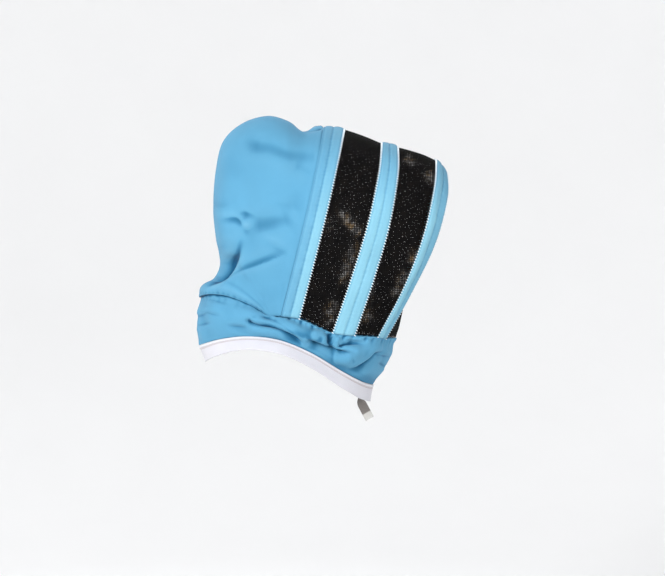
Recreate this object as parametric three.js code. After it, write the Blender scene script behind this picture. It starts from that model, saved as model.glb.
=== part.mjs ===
// A beekeeper's fencing-style hood in its worn form: a loose cotton back, three hooped bands with black net
// between them, a net window for the face, a gathered neck skirt and a white hem tape.
// Millimetres, +Z up. The face looks towards -Y and the wearer's left is +X. The origin is the middle of the
// neck opening, at the level where the hood sits on the wearer's collar.
import * as THREE from "three";

// Overall sizes, from the origin
const faceReach = 246; // a little past the foremost point of the front band
const crownHeight = 365; // to the crown of the rear band
const hoodHalfWidth = 138; // to the side of the middle band
const backReach = 279; // from the rear band's feet to the top of the hood
const napeReach = 132; // to the back of the fold over the nape
const hemReach = 130; // to the front and the back of the hem
const hemHalfWidth = 112; // to the side of the hem

// Walls, tapes and seams
const clothWall = 1.5;
const netWall = 1.2;
const hoopChannelLift = 2.2; // how far a hoop channel stands out of its band
const tapeWidth = 25;
const tapeWall = 1.4;
const tapeRimLift = 0.9; // the folded upper edge of the tape
const lapWidth = 6; // how far net and cloth run under a band
const seamGap = 0.3; // between pieces that are sewn together
const throatGap = 6; // between the two ends of the hem tape
const tailWidth = 14;
const tailLength = 57;
const tailLean = 0.52; // radians forward of straight down, once it hangs free
// Its upper end: the share of the hem's length from the throat, and the share of the tape's width.
const tailStart = { round: 0.064, across: 0.2 };
const tailTurn = { from: 0.34, to: 0.62 }; // the shares of its length between which it turns to face sideways

// How finely the cloth is divided
const archSteps = 36; // along a band, from one side of the neck to the other
const netColumns = 5;
const backRows = 16; // from the rear band to the nape
const backColumns = 17; // on each side of the middle seam
const faceRows = 16;
const faceColumns = 10;
const neckSteps = 72; // round the neck
const skirtRows = 8;
const tailRows = 9;

// The six sewn edges of the three bands, from the back. Ahead shares are of faceReach, up shares of
// crownHeight and half-width shares of hoodHalfWidth. The bow is how far an edge swells forward of the
// straight line from its foot to its crown, and the skew how much more of that is near the crown.
const bandEdges = [
  { footAhead: -0.02, footUp: 0.229, footHalf: 0.79, ahead: 0.232, up: 1.0, half: 0.98, bow: 0.018, skew: 0.4 },
  { footAhead: 0.088, footUp: 0.218, footHalf: 0.785, ahead: 0.356, up: 0.992, half: 0.99, bow: 0.016, skew: 0.4 },
  { footAhead: 0.285, footUp: 0.163, footHalf: 0.768, ahead: 0.58, up: 0.937, half: 1.0, bow: 0.041, skew: 0.4 },
  { footAhead: 0.415, footUp: 0.152, footHalf: 0.725, ahead: 0.675, up: 0.922, half: 0.99, bow: 0.052, skew: 0.4 },
  { footAhead: 0.553, footUp: 0.145, footHalf: 0.6, ahead: 0.907, up: 0.868, half: 0.945, bow: 0.068, skew: 0 },
  { footAhead: 0.602, footUp: 0.136, footHalf: 0.44, ahead: 0.97, up: 0.82, half: 0.82, bow: 0.079, skew: 0.45 },
];

// An arch from its foot to its crown: the share of its rise over the head and along the lip, of its half-width
// over the head and round the nape, and of the narrowing of its foot.
const archStations = [
  { rise: 0, lipRise: 0, spread: 1, napeSpread: 1, pinch: 1 },
  { rise: 0.28, lipRise: 0.61, spread: 1, napeSpread: 0.99, pinch: 0.42 },
  { rise: 0.56, lipRise: 1.02, spread: 1, napeSpread: 0.89, pinch: 0.08 },
  { rise: 0.82, lipRise: 1.13, spread: 0.84, napeSpread: 0.66, pinch: 0 },
  { rise: 0.96, lipRise: 1.05, spread: 0.47, napeSpread: 0.35, pinch: 0 },
  { rise: 1, lipRise: 1, spread: 0, napeSpread: 0, pinch: 0 },
];

// The ribs of the back, which fan out from the rear band's feet over the crown and down to the nape. The
// swing is in degrees back from upright, the reach a share of backReach, the half-width a share of
// hoodHalfWidth, and the feet creep back by a share of napeReach. The nape share is how far a rib takes the
// rounder spread of the nape, and the lip share how far it rises as the lip does.
const backRibs = [
  { swing: -8, reach: 1.014, half: 0.97, nape: 0, lip: 0, footBack: 0.015 },
  { swing: -2, reach: 1.062, half: 0.96, nape: 0, lip: 0, footBack: 0.028 },
  { swing: 3, reach: 1.085, half: 0.95, nape: 0, lip: 0, footBack: 0.04 },
  { swing: 10, reach: 1.061, half: 0.94, nape: 0.05, lip: 0, footBack: 0.052 },
  { swing: 17, reach: 0.989, half: 0.93, nape: 0.15, lip: 0, footBack: 0.062 },
  { swing: 23, reach: 0.848, half: 0.92, nape: 0.3, lip: 0.03, footBack: 0.072 },
  { swing: 30, reach: 0.685, half: 0.91, nape: 0.45, lip: 0.1, footBack: 0.08 },
  { swing: 38, reach: 0.52, half: 0.9, nape: 0.6, lip: 0.25, footBack: 0.088 },
  { swing: 47, reach: 0.412, half: 0.88, nape: 0.75, lip: 0.5, footBack: 0.096 },
  { swing: 58, reach: 0.399, half: 0.86, nape: 0.9, lip: 0.8, footBack: 0.104 },
  { swing: 66, reach: 0.417, half: 0.85, nape: 1, lip: 1, footBack: 0.112 },
  { swing: 75, reach: 0.41, half: 0.83, nape: 1, lip: 1, footBack: 0.12 },
];

// Across the hem tape: the share of its width and of tapeRimLift.
const tapeProfile = [
  { across: 0, lift: 0.8 },
  { across: 0.12, lift: 1 },
  { across: 0.2, lift: 0 },
  { across: 1, lift: 0 },
];

// Across a band: the share of its width and of hoopChannelLift.
const channelProfile = [
  { across: 0, lift: 0.25 },
  { across: 0.24, lift: 1 },
  { across: 0.41, lift: 0.5 },
  { across: 0.5, lift: 0 },
  { across: 0.59, lift: 0.5 },
  { across: 0.76, lift: 1 },
  { across: 1, lift: 0.25 },
];

// The net window: at a share of the front band's rise, how far its middle lies forward of its edges, as a
// share of faceReach.
const faceDish = [
  { rise: 0, forward: 0.075 },
  { rise: 0.28, forward: -0.012 },
  { rise: 0.56, forward: -0.045 },
  { rise: 0.82, forward: -0.03 },
  { rise: 1, forward: 0 },
];

// The upper edge of the hem tape round the neck. The turn is in degrees from the throat, the up share is of
// crownHeight, and the flare is the tape's lean outwards from upright, in degrees.
const hemStations = [
  { turn: 0, up: -0.053, flare: -8 },
  { turn: 31, up: -0.034, flare: 0 },
  { turn: 51, up: 0.012, flare: 8 },
  { turn: 74, up: 0.087, flare: 26 },
  { turn: 94, up: 0.135, flare: 44 },
  { turn: 115, up: 0.148, flare: 46 },
  { turn: 137, up: 0.136, flare: 24 },
  { turn: 160, up: 0.114, flare: -8 },
  { turn: 180, up: 0.106, flare: -26 },
];

// The swell of the neck skirt from its top seam to the hem, as a share of napeReach.
const skirtSwell = [
  { level: 0, swell: 0 },
  { level: 0.125, swell: 0.008 },
  { level: 0.3, swell: 0.062 },
  { level: 0.55, swell: 0.085 },
  { level: 0.8, swell: 0.05 },
  { level: 1, swell: 0 },
];

// Round the neck, by the share of the way from the throat to the nape: how far the top of the skirt is tucked
// in under the hood, as a share of napeReach, and how much of the swell it has.
const skirtRound = [
  { way: 0, tuck: 0, swell: 0.55 },
  { way: 0.3, tuck: 0, swell: 1 },
  { way: 0.45, tuck: 0, swell: 1.1 },
  { way: 0.5, tuck: 0.012, swell: 1.08 },
  { way: 0.54, tuck: 0.024, swell: 1.03 },
  { way: 0.62, tuck: 0.035, swell: 0.9 },
  { way: 0.85, tuck: 0.043, swell: 0.6 },
  { way: 1, tuck: 0.037, swell: 0.5 },
];

// The main folds, seen from the side: from one point to another, forward as a share of faceReach and up as a
// share of crownHeight, with the width of the fold as a share of napeReach and its depth likewise, less than
// zero for a valley. Left is the share of the depth on the wearer's left.
const backFolds = [
  { from: [-0.24, 0.96], to: [0.2, 0.865], width: 0.13, depth: -0.04, left: 0.7 },
  { from: [-0.31, 0.54], to: [-0.46, 0.345], width: 0.12, depth: -0.09, left: 0.9 },
  { from: [-0.41, 0.62], to: [-0.2, 0.585], width: 0.12, depth: -0.03, left: 0.3 },
  { from: [-0.1, 0.55], to: [-0.2, 0.47], width: 0.2, depth: 0.035, left: 0.6 },
  { from: [-0.45, 0.33], to: [-0.12, 0.33], width: 0.13, depth: 0.05, left: 1 },
];
const skirtFolds = [
  { from: [-0.2, 0.215], to: [0.05, 0.145], width: 0.075, depth: -0.06, left: 0.8 },
  { from: [0.06, 0.11], to: [0.3, 0.06], width: 0.08, depth: -0.09, left: 0.7 },
  { from: [0.02, 0.16], to: [0.22, 0.125], width: 0.07, depth: 0.04, left: 0.7 },
  { from: [0.38, 0.08], to: [0.46, 0.035], width: 0.095, depth: 0.07, left: 0.9 },
  { from: [0.38, -0.005], to: [0.53, 0.05], width: 0.075, depth: -0.055, left: 1 },
  { from: [-0.5, 0.2], to: [-0.47, 0.15], width: 0.09, depth: -0.03, left: 1 },
];

// The dip between the two back panels, as shares of napeReach, and the share of down at which it is full.
const middleSeam = { width: 0.17, depth: -0.075, fadeFrom: 0.06, fadeIn: 0.3 };

// Seams hold the folds down, over these shares of a panel's breadth from its foot and of the skirt's height.
const footHold = { from: 0.04, to: 0.3 };
const skirtHold = 0.2;

const fabric = {
  cotton: new THREE.MeshStandardMaterial({ color: 0x66b8e0, roughness: 0.9, metalness: 0 }),
  band: new THREE.MeshStandardMaterial({ color: 0x74c4ea, roughness: 0.85, metalness: 0 }),
  net: new THREE.MeshStandardMaterial({ color: 0x151414, roughness: 0.6, metalness: 0 }),
  tape: new THREE.MeshStandardMaterial({ color: 0xe4e4ea, roughness: 0.8, metalness: 0 }),
};
const hoodMiddle = new THREE.Vector3(0, 0, 0.45 * crownHeight); // a point inside, to tell out from in
const nearby = 0.01; // the share of a curve to a neighbouring point on it

const point = (side, forward, up) => new THREE.Vector3(side, -forward, up);
const mix = THREE.MathUtils.lerp;
const radians = THREE.MathUtils.degToRad;
const smoothstep = THREE.MathUtils.smoothstep;

// Reads a column of a table smoothly between its rows.
function readTable(rows, key, column, value) {
  const [keys, values] = [key, column].map((name) => rows.map((row) => row[name]));
  return new THREE.CubicInterpolant(keys, values, 1).evaluate(value)[0];
}

// A smooth arch over the head: the points of its right side, then their mirror images down its left side.
function archThrough(rightPoints) {
  const leftPoints = rightPoints.slice(0, -1).reverse().map((p) => p.clone().setX(-p.x));
  return new THREE.CatmullRomCurve3([...rightPoints, ...leftPoints], false, "centripetal");
}

function edgeArch(edge) {
  return archThrough(
    archStations.map(({ rise, spread, pinch }) => {
      const half = (edge.half * spread - (edge.half - edge.footHalf) * pinch) * hoodHalfWidth;
      const bow = edge.bow * 4 * rise * (1 - rise) * (1 + edge.skew * (2 * rise - 1));
      const forward = (mix(edge.footAhead, edge.ahead, rise) + bow) * faceReach;
      return point(-half, forward, mix(edge.footUp, edge.up, rise) * crownHeight);
    }),
  );
}

const edgeArches = bandEdges.map(edgeArch);
const lastEdge = edgeArches.length - 1;

// A point of the canopy: across counts the band edges from the back, along runs from the right foot (0) over
// the crown to the left foot (1).
function canopyPoint(across, along) {
  const crossed = edgeArches.map((arch) => arch.getPoint(along));
  return new THREE.CatmullRomCurve3(crossed, false, "centripetal").getPoint(across / lastEdge);
}

// The share of the strip between two edges that a lap takes, at one place along it.
function lapShare(edge, neighbour, along) {
  return lapWidth / edgeArches[edge].getPoint(along).distanceTo(edgeArches[neighbour].getPoint(along));
}

const rearEdge = bandEdges[0];
const rearFoot = edgeArches[0].getPoint(0);

function backRib(rib) {
  const [swing, reach] = [radians(rib.swing), rib.reach * backReach];
  return archThrough(
    archStations.map(({ rise, lipRise, spread, napeSpread, pinch }) => {
      const width = rib.half * mix(spread, napeSpread, rib.nape) - (rib.half - rearEdge.footHalf) * pinch;
      const back = rearFoot.y + rib.footBack * napeReach + Math.sin(swing) * reach * rise;
      const up = rearFoot.z + Math.cos(swing) * reach * mix(rise, lipRise, rib.lip);
      return point(-width * hoodHalfWidth, -back, up);
    }),
  );
}

const ribArches = backRibs.map(backRib);

// A point of the back: down runs from the lap under the rear band (0) to the lip over the nape (1).
function backPoint(down, along) {
  const start = [canopyPoint(lapShare(0, 1, along), along), canopyPoint(0, along)];
  const meridian = [...start, ...ribArches.map((rib) => rib.getPoint(along))];
  return new THREE.CatmullRomCurve3(meridian, false, "centripetal").getPoint(down);
}

const lapEnd = 1 / (backRibs.length + 1); // the share of down at the rear band's edge

// How far folds push a point of the cloth out, looking at it from the side.
function foldLift(folds, p) {
  const seen = new THREE.Vector2(-p.y, p.z);
  return folds.reduce((lift, fold) => {
    const from = new THREE.Vector2(fold.from[0] * faceReach, fold.from[1] * crownHeight);
    const along = new THREE.Vector2(fold.to[0] * faceReach, fold.to[1] * crownHeight).sub(from);
    const share = THREE.MathUtils.clamp(seen.clone().sub(from).dot(along) / along.lengthSq(), 0, 1);
    const off = seen.distanceTo(from.addScaledVector(along, share)) / (fold.width * napeReach);
    const side = p.x > 0 ? fold.left : 1;
    return lift + fold.depth * side * napeReach * Math.exp(-off * off);
  }, 0);
}

// Normals of a grid of points, facing away from the middle of the hood.
function normalsOf(grid, around) {
  const normals = grid.map((row) => row.map(() => new THREE.Vector3()));
  const [rows, columns] = [grid.length, grid[0].length];
  let outward = 0;
  for (let i = 0; i < rows - (around ? 0 : 1); i += 1) {
    for (let j = 0; j < columns - 1; j += 1) {
      const corners = [[i, j], [(i + 1) % rows, j], [(i + 1) % rows, j + 1], [i, j + 1]];
      const [a, b, c, d] = corners.map(([r, s]) => grid[r][s]);
      const normal = c.clone().sub(a).cross(d.clone().sub(b));
      outward += normal.dot(a.clone().sub(hoodMiddle));
      corners.forEach(([r, s]) => normals[r][s].add(normal));
    }
  }
  const facing = Math.sign(outward);
  return normals.map((row) => row.map((normal) => normal.normalize().multiplyScalar(facing)));
}

// Moves each point of a grid along its normal by lift(point, row, column).
function lifted(grid, around, lift) {
  const normals = normalsOf(grid, around);
  return grid.map((row, i) => row.map((p, j) => p.clone().addScaledVector(normals[i][j], lift(p, i, j))));
}

// A closed sheet of cloth: an outer and an inner skin over a grid, joined at the grid's open edges.
// Around means that the last row meets the first, and levelEnds that the first and last rows are cut level.
function clothGeometry(grid, { inner, outer, around = false, levelEnds = false, trim = (p) => p }) {
  const normals = normalsOf(grid, around);
  if (levelEnds) [normals[0], normals.at(-1)].flat().forEach((normal) => normal.setZ(0).normalize());
  const [rows, columns] = [grid.length, grid[0].length];
  const skin = (offset) =>
    grid.flatMap((row, i) => row.map((p, j) => trim(p.clone().addScaledVector(normals[i][j], offset(i, j)))));
  const vertices = [...skin(outer), ...skin(inner)];
  const upper = (i, j) => (i % rows) * columns + j;
  const lower = (i, j) => rows * columns + upper(i, j);
  const triangles = [];
  const quad = (a, b, c, d) => triangles.push([a, b, c], [a, c, d]);
  const rowSpans = rows - (around ? 0 : 1);
  for (let i = 0; i < rowSpans; i += 1) {
    for (let j = 0; j < columns - 1; j += 1) {
      quad(upper(i, j), upper(i + 1, j), upper(i + 1, j + 1), upper(i, j + 1));
      quad(lower(i, j), lower(i, j + 1), lower(i + 1, j + 1), lower(i + 1, j));
    }
    quad(lower(i, 0), lower(i + 1, 0), upper(i + 1, 0), upper(i, 0));
    quad(upper(i, columns - 1), upper(i + 1, columns - 1), lower(i + 1, columns - 1), lower(i, columns - 1));
  }
  for (let j = 0; j < columns - 1 && !around; j += 1) {
    quad(upper(0, j), upper(0, j + 1), lower(0, j + 1), lower(0, j));
    quad(lower(rows - 1, j), lower(rows - 1, j + 1), upper(rows - 1, j + 1), upper(rows - 1, j));
  }
  return solidGeometry(vertices, triangles);
}

// A geometry from shared vertices, without the triangles that a pole closes up, and facing out.
function solidGeometry(vertices, triangles) {
  const apart = (a, b) => vertices[a].distanceTo(vertices[b]) > seamGap / 1000;
  const whole = triangles.filter(([a, b, c]) => apart(a, b) && apart(b, c) && apart(c, a));
  const volume = whole.reduce((sum, [a, b, c]) => sum + vertices[a].dot(vertices[b].clone().cross(vertices[c])), 0);
  const turned = volume < 0 ? whole.map(([a, b, c]) => [a, c, b]) : whole;
  const geometry = new THREE.BufferGeometry();
  geometry.setAttribute("position", new THREE.Float32BufferAttribute(vertices.flatMap((p) => p.toArray()), 3));
  geometry.setIndex(turned.flat());
  geometry.computeVertexNormals();
  return geometry;
}

const range = (count) => Array.from({ length: count + 1 }, (_, index) => index / count);

function piece(name, geometry, material) {
  const mesh = new THREE.Mesh(geometry, material);
  mesh.name = name;
  return mesh;
}

// A cotton band over two hoops, from its rear edge to the next edge.
function hoopBand(name, firstEdge) {
  const grid = range(archSteps).map((along) =>
    channelProfile.map(({ across }) => canopyPoint(firstEdge + across, along)),
  );
  const geometry = clothGeometry(grid, {
    inner: () => 0,
    outer: (i, j) => clothWall + channelProfile[j].lift * hoopChannelLift,
    levelEnds: true,
  });
  return piece(name, geometry, fabric.band);
}

// A strip of net between two bands, lapped under both.
function netStrip(name, firstEdge) {
  const grid = range(archSteps).map((along) => {
    const from = firstEdge - lapShare(firstEdge, firstEdge - 1, along);
    const to = firstEdge + 1 + lapShare(firstEdge + 1, firstEdge + 2, along);
    return range(netColumns).map((share) => canopyPoint(mix(from, to, share), along));
  });
  const geometry = clothGeometry(grid, {
    inner: () => -seamGap - netWall,
    outer: () => -seamGap,
    levelEnds: true,
  });
  return piece(name, geometry, fabric.net);
}

// The edge of the net window lies just inside the front band's front edge.
function faceEdge(along) {
  const edge = canopyPoint(lastEdge, along);
  const beside = canopyPoint(lastEdge, along + (along < 0.5 ? nearby : -nearby)).sub(edge);
  const inBand = canopyPoint(lastEdge - nearby, along).sub(edge);
  const outward = beside.cross(inBand).normalize();
  outward.multiplyScalar(Math.sign(outward.dot(edge.clone().sub(hoodMiddle))));
  return edge.addScaledVector(outward, -seamGap - netWall);
}

function facePoint(rise, across) {
  const along = rise / 2;
  const dish = readTable(faceDish, "rise", "forward", riseAt(along)) * faceReach;
  const swell = 1 - (2 * across - 1) ** 2;
  const p = faceEdge(along).lerp(faceEdge(1 - along), across);
  return p.setY(p.y - dish * swell);
}

// The share of the front band's rise at a place along it.
function riseAt(along) {
  const arch = edgeArches[lastEdge];
  const foot = arch.getPoint(0).z;
  return (arch.getPoint(along).z - foot) / (arch.getPoint(0.5).z - foot);
}

function netFace() {
  const grid = range(faceRows).map((rise) => range(faceColumns).map((across) => facePoint(rise, across)));
  const geometry = clothGeometry(grid, { inner: () => -netWall / 2, outer: () => netWall / 2, levelEnds: true });
  return piece("net_face", geometry, fabric.net);
}

// One of the two back panels, from the foot of its side to the middle seam. Side is -1 for the wearer's right.
function hoodBack(name, side) {
  const downs = [0, ...range(backRows - 1).map((share) => mix(lapEnd, 1, share))];
  const flat = downs.map((down) =>
    range(backColumns).map((share) => backPoint(down, side < 0 ? share / 2 : 1 - share / 2)),
  );
  const grid = lifted(flat, false, (p, i, j) => {
    const down = downs[i];
    const fade = smoothstep(down, middleSeam.fadeFrom, middleSeam.fadeIn);
    const seamDip = middleSeam.depth * napeReach * Math.exp(-((p.x / (middleSeam.width * napeReach)) ** 2));
    const free = smoothstep(j / backColumns, footHold.from, footHold.to);
    return fade * (free * foldLift(backFolds, p) + seamDip * (1 - down ** 6)); // the lip has no dip
  });
  const sunk = (i) => (i < 2 ? 2 : 1) * seamGap; // the first two rows lie under the band
  const geometry = clothGeometry(grid, {
    inner: (i) => -sunk(i) - clothWall,
    outer: (i) => -sunk(i),
    trim: (p) => p.set(side * Math.max(side * p.x, seamGap / 2), p.y, Math.max(p.z, rearFoot.z)),
  });
  return piece(name, geometry, fabric.cotton);
}

// The seam where the hood meets the skirt, once round from the throat by the wearer's right.
function neckSeam() {
  const face = range(12).map((share) => facePoint(0, share));
  const bands = range(20).slice(1).map((share) => canopyPoint(lastEdge * (1 - share), 0));
  const lip = range(40).slice(1).map((along) => backPoint(1, along));
  const mirrored = (points) => points.map((p) => p.clone().setX(-p.x)).reverse();
  const [rightFace, leftFace] = [face.slice(0, 7).reverse(), face.slice(7, -1).reverse()];
  const once = [...rightFace, ...bands, ...lip, ...mirrored(bands.slice(0, -1)), face.at(-1), ...leftFace];
  return new THREE.CatmullRomCurve3(once, true, "centripetal");
}

function hemPoint({ turn, up }, side) {
  const angle = radians(turn);
  return point(side * Math.sin(angle) * hemHalfWidth, Math.cos(angle) * hemReach, up * crownHeight);
}

function hemLoop() {
  const right = hemStations.map((station) => hemPoint(station, -1));
  const left = hemStations.slice(1, -1).reverse().map((station) => hemPoint(station, 1));
  return new THREE.CatmullRomCurve3([...right, ...left], true, "centripetal");
}

const skirtSeam = neckSeam();
const hem = hemLoop();
const wayToNape = (round) => 1 - Math.abs(1 - 2 * round);

// The level direction that points out of the neck opening, at a share of the way round it.
function outOfNeck(round) {
  const tangent = hem.getTangentAt(round);
  return new THREE.Vector3(-tangent.y, tangent.x, 0).normalize();
}

function skirtPoint(round, level) {
  const [out, way] = [outOfNeck(round), wayToNape(round)];
  const tuck = readTable(skirtRound, "way", "tuck", way) * napeReach;
  const top = skirtSeam.getPointAt(round).addScaledVector(out, -tuck);
  top.z -= 2 * seamGap;
  const swell = readTable(skirtSwell, "level", "swell", level) * readTable(skirtRound, "way", "swell", way);
  return top.lerp(hem.getPointAt(round), level).addScaledVector(out, swell * napeReach);
}

function neckSkirt() {
  const rounds = range(neckSteps).slice(0, -1);
  const flat = rounds.map((round) => range(skirtRows).map((level) => skirtPoint(round, level)));
  const grid = lifted(flat, true, (p, i, j) => {
    const level = j / skirtRows;
    const hold = smoothstep(level, 0, skirtHold) * smoothstep(1 - level, 0, skirtHold);
    return hold * foldLift(skirtFolds, p);
  });
  const geometry = clothGeometry(grid, { inner: () => -clothWall / 2, outer: () => clothWall / 2, around: true });
  return piece("neck_skirt", geometry, fabric.cotton);
}

// A point of the hem tape: across runs from its rolled upper edge (0) to its lower edge (1).
function tapePoint(round, across) {
  const turn = wayToNape(round) * 180;
  const flare = radians(readTable(hemStations, "turn", "flare", turn));
  const out = outOfNeck(round).multiplyScalar(Math.sin(flare));
  const down = out.add(new THREE.Vector3(0, 0, -Math.cos(flare)));
  return hem.getPointAt(round).addScaledVector(down, clothWall / 2 + seamGap + across * tapeWidth);
}

function hemTape() {
  const end = throatGap / 2 / hem.getLength();
  const grid = range(neckSteps).map((share) =>
    tapeProfile.map(({ across }) => tapePoint(mix(end, 1 - end, share), across)),
  );
  const geometry = clothGeometry(grid, {
    inner: () => -tapeWall / 2,
    outer: (i, j) => tapeWall / 2 + tapeProfile[j].lift * tapeRimLift,
  });
  return piece("hem_tape", geometry, fabric.tape);
}

// The loose end of the tape runs down inside the hem on the wearer's left, then hangs forward below it.
function tapeTail() {
  const round = 1 - tailStart.round;
  const [tangent, out] = [hem.getTangentAt(round), outOfNeck(round)];
  const middle = tapePoint(round, tailStart.across).addScaledVector(out, -tapeWall - 4 * seamGap);
  const rows = range(tailRows).map((share) => {
    const turned = smoothstep(share, tailTurn.from, tailTurn.to);
    const down = new THREE.Vector3(0, -Math.sin(tailLean * turned), -Math.cos(tailLean * turned));
    const edge = tangent.clone().lerp(new THREE.Vector3(0, down.z, -down.y), turned).normalize();
    const row = [-0.5, 0, 0.5].map((side) => middle.clone().addScaledVector(edge, side * tailWidth));
    middle.addScaledVector(down, tailLength / tailRows).addScaledVector(out, -seamGap);
    return row;
  });
  const geometry = clothGeometry(rows, { inner: () => -tapeWall / 2, outer: () => tapeWall / 2 });
  return piece("tape_tail", geometry, fabric.tape);
}

const hood = new THREE.Group();
hood.add(
  hoodBack("hood_back_right", -1),
  hoodBack("hood_back_left", 1),
  hoopBand("hoop_band_rear", 0),
  netStrip("net_rear", 1),
  hoopBand("hoop_band_middle", 2),
  netStrip("net_middle", 3),
  hoopBand("hoop_band_front", 4),
  netFace(),
  neckSkirt(),
  hemTape(),
  tapeTail(),
);

export default hood;
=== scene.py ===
import math

import bmesh
import bpy
import numpy as np
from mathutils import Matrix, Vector


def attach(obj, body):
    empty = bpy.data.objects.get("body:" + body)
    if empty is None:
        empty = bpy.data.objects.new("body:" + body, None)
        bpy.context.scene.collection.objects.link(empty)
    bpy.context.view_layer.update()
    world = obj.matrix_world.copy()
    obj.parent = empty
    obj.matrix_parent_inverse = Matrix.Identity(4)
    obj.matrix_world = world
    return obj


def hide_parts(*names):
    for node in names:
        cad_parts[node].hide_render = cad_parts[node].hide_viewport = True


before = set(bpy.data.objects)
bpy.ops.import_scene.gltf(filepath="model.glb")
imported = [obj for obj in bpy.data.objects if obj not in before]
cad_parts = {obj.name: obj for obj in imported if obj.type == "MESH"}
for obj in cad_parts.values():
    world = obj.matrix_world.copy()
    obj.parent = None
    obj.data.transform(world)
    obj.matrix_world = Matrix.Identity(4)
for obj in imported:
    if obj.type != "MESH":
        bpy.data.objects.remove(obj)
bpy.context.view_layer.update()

# A beekeeper's fencing-style hood as it is worn: a loose cotton back, three bands over sprung hoops with
# black net between them, a net window for the face, a gathered neck skirt and a taped hem. Metres, but for
# the fold paths. The face looks towards -Y, and forward means -Y in every table.

hood = {
    "faceReach": 0.246,
    "crownHeight": 0.365,
    "halfWidth": 0.138,
    "napeReach": 0.132,
    "hemReach": 0.130,
    "hemHalf": 0.112,
    "backReach": 0.279,
    "clothWall": 0.0011,
    "lap": 0.006,
    "seamGap": 0.0003,
    "netDepth": 0.0009,
}

cameraSettings = {"azimuth": -90, "lens": 120, "frameWidth": 0.9975, "centre": (0, -0.06975, 0.1245)}
sensorWidth = 36


# Reading tables and curves


def table(columns, *rows):
    return [dict(zip(columns.split(), row)) for row in rows]


def fold(path, width, depth=0, share=None, crisp=0, left=0.6, fadeIn=0.25, fadeOut=0.25):
    # in millimetres, with the path as forward, up, forward, up ..., and a share in place of depth for shades;
    # crisp 1 is a sharp crease with its steep side left of the path, and left is the far side's part of it
    path = np.array(path).reshape(-1, 2) / 1000
    depth = depth / 1000 if share is None else share
    shape = {"width": width / 1000, "depth": depth, "crisp": crisp, "left": left}
    return {"path": path, "fadeIn": fadeIn, "fadeOut": fadeOut, **shape}


def spline(points, shares):  # centripetal Catmull-Rom through points (n, ..., 3), the same share of each span
    points = np.asarray(points, float)
    spans = len(points) - 1
    before = 2 * points[0] - points[1]
    after = 2 * points[-1] - points[-2]
    padded = np.concatenate([before[None], points, after[None]])
    steps = np.sqrt(np.linalg.norm(np.diff(padded, axis=0), axis=-1)) + 1e-9
    place = np.clip(np.asarray(shares, float), 0, 1) * spans
    span = np.minimum(place.astype(int), spans - 1)
    t = (place - span).reshape((-1,) + (1,) * (points.ndim - 1))
    p0, p1, p2, p3 = (padded[span + k] for k in range(4))
    d0, d1, d2 = (steps[span + k][..., None] for k in range(3))
    m1 = ((p1 - p0) / d0 - (p2 - p0) / (d0 + d1) + (p2 - p1) / d1) * d1
    m2 = ((p2 - p1) / d1 - (p3 - p1) / (d1 + d2) + (p3 - p2) / d2) * d1
    return p1 + m1 * t + (3 * (p2 - p1) - 2 * m1 - m2) * t**2 + (2 * (p1 - p2) + m1 + m2) * t**3


def closedSpline(points, shares):  # the same round a loop
    points = np.asarray(points, float)
    looped = np.concatenate([points[-2:], points, points[:3]])
    spans = len(looped) - 1
    return spline(looped, (2 + np.asarray(shares, float) % 1 * len(points)) / spans)


def readTable(rows, key, column, at):  # smooth between the rows of a table
    x = np.array([row[key] for row in rows], float)
    y = np.array([row[column] for row in rows], float)
    slope = np.gradient(y, x)
    at = np.clip(np.asarray(at, float), x[0], x[-1])
    i = np.clip(np.searchsorted(x, at) - 1, 0, len(x) - 2)
    h = x[i + 1] - x[i]
    t = (at - x[i]) / h
    return (
        (1 + 2 * t) * (1 - t) ** 2 * y[i]
        + t * (1 - t) ** 2 * h * slope[i]
        + t * t * (3 - 2 * t) * y[i + 1]
        + t * t * (t - 1) * h * slope[i + 1]
    )


def smoothstep(value, low, high):
    t = np.clip((value - low) / (high - low), 0, 1)
    return t * t * (3 - 2 * t)


def unit(v):
    return v / (np.linalg.norm(v, axis=-1, keepdims=True) + 1e-12)


def bell(x, middle, width, power=2):  # 1 at the middle, and less on both sides
    return np.exp(-(((x - middle) / width) ** power))


def runAlong(points):
    return np.cumsum(np.r_[0, np.linalg.norm(np.diff(points, axis=0), axis=-1)])


def gathers(run, pitch, drift, secondPitch, shift=0):  # uneven waves along a seam
    waves = np.sin(run * 2 * math.pi / pitch + 2.6 * np.sin(run * drift))
    return waves + 0.8 * np.sin(run * 2 * math.pi / secondPitch + shift)


def facingOut(grid, around=False):  # unit normals of a grid (rows, columns, 3), away from the head
    if around:
        down = np.roll(grid, -1, 0) - np.roll(grid, 1, 0)
    else:
        down = np.gradient(grid, axis=0)
    across = np.gradient(grid, axis=1)
    normal = unit(np.cross(down, across))
    head = np.array([0, 0, hood["crownHeight"] * 0.45])
    sign = np.sign(np.sum(normal * (grid - head)))
    return normal * sign


def softNoise(points, size, seed):  # smooth wander of about -1 to 1 with bumps about this size, in metres
    chance = np.random.default_rng(seed)
    total = np.zeros(points.shape[:-1])
    for _ in range(7):
        wave = chance.normal(size=3)
        wave *= 2 * math.pi / (size * 2) / np.linalg.norm(wave)
        total += np.sin(points @ wave + chance.uniform(0, 2 * math.pi))
    return total / 3


# The worn form

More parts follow.
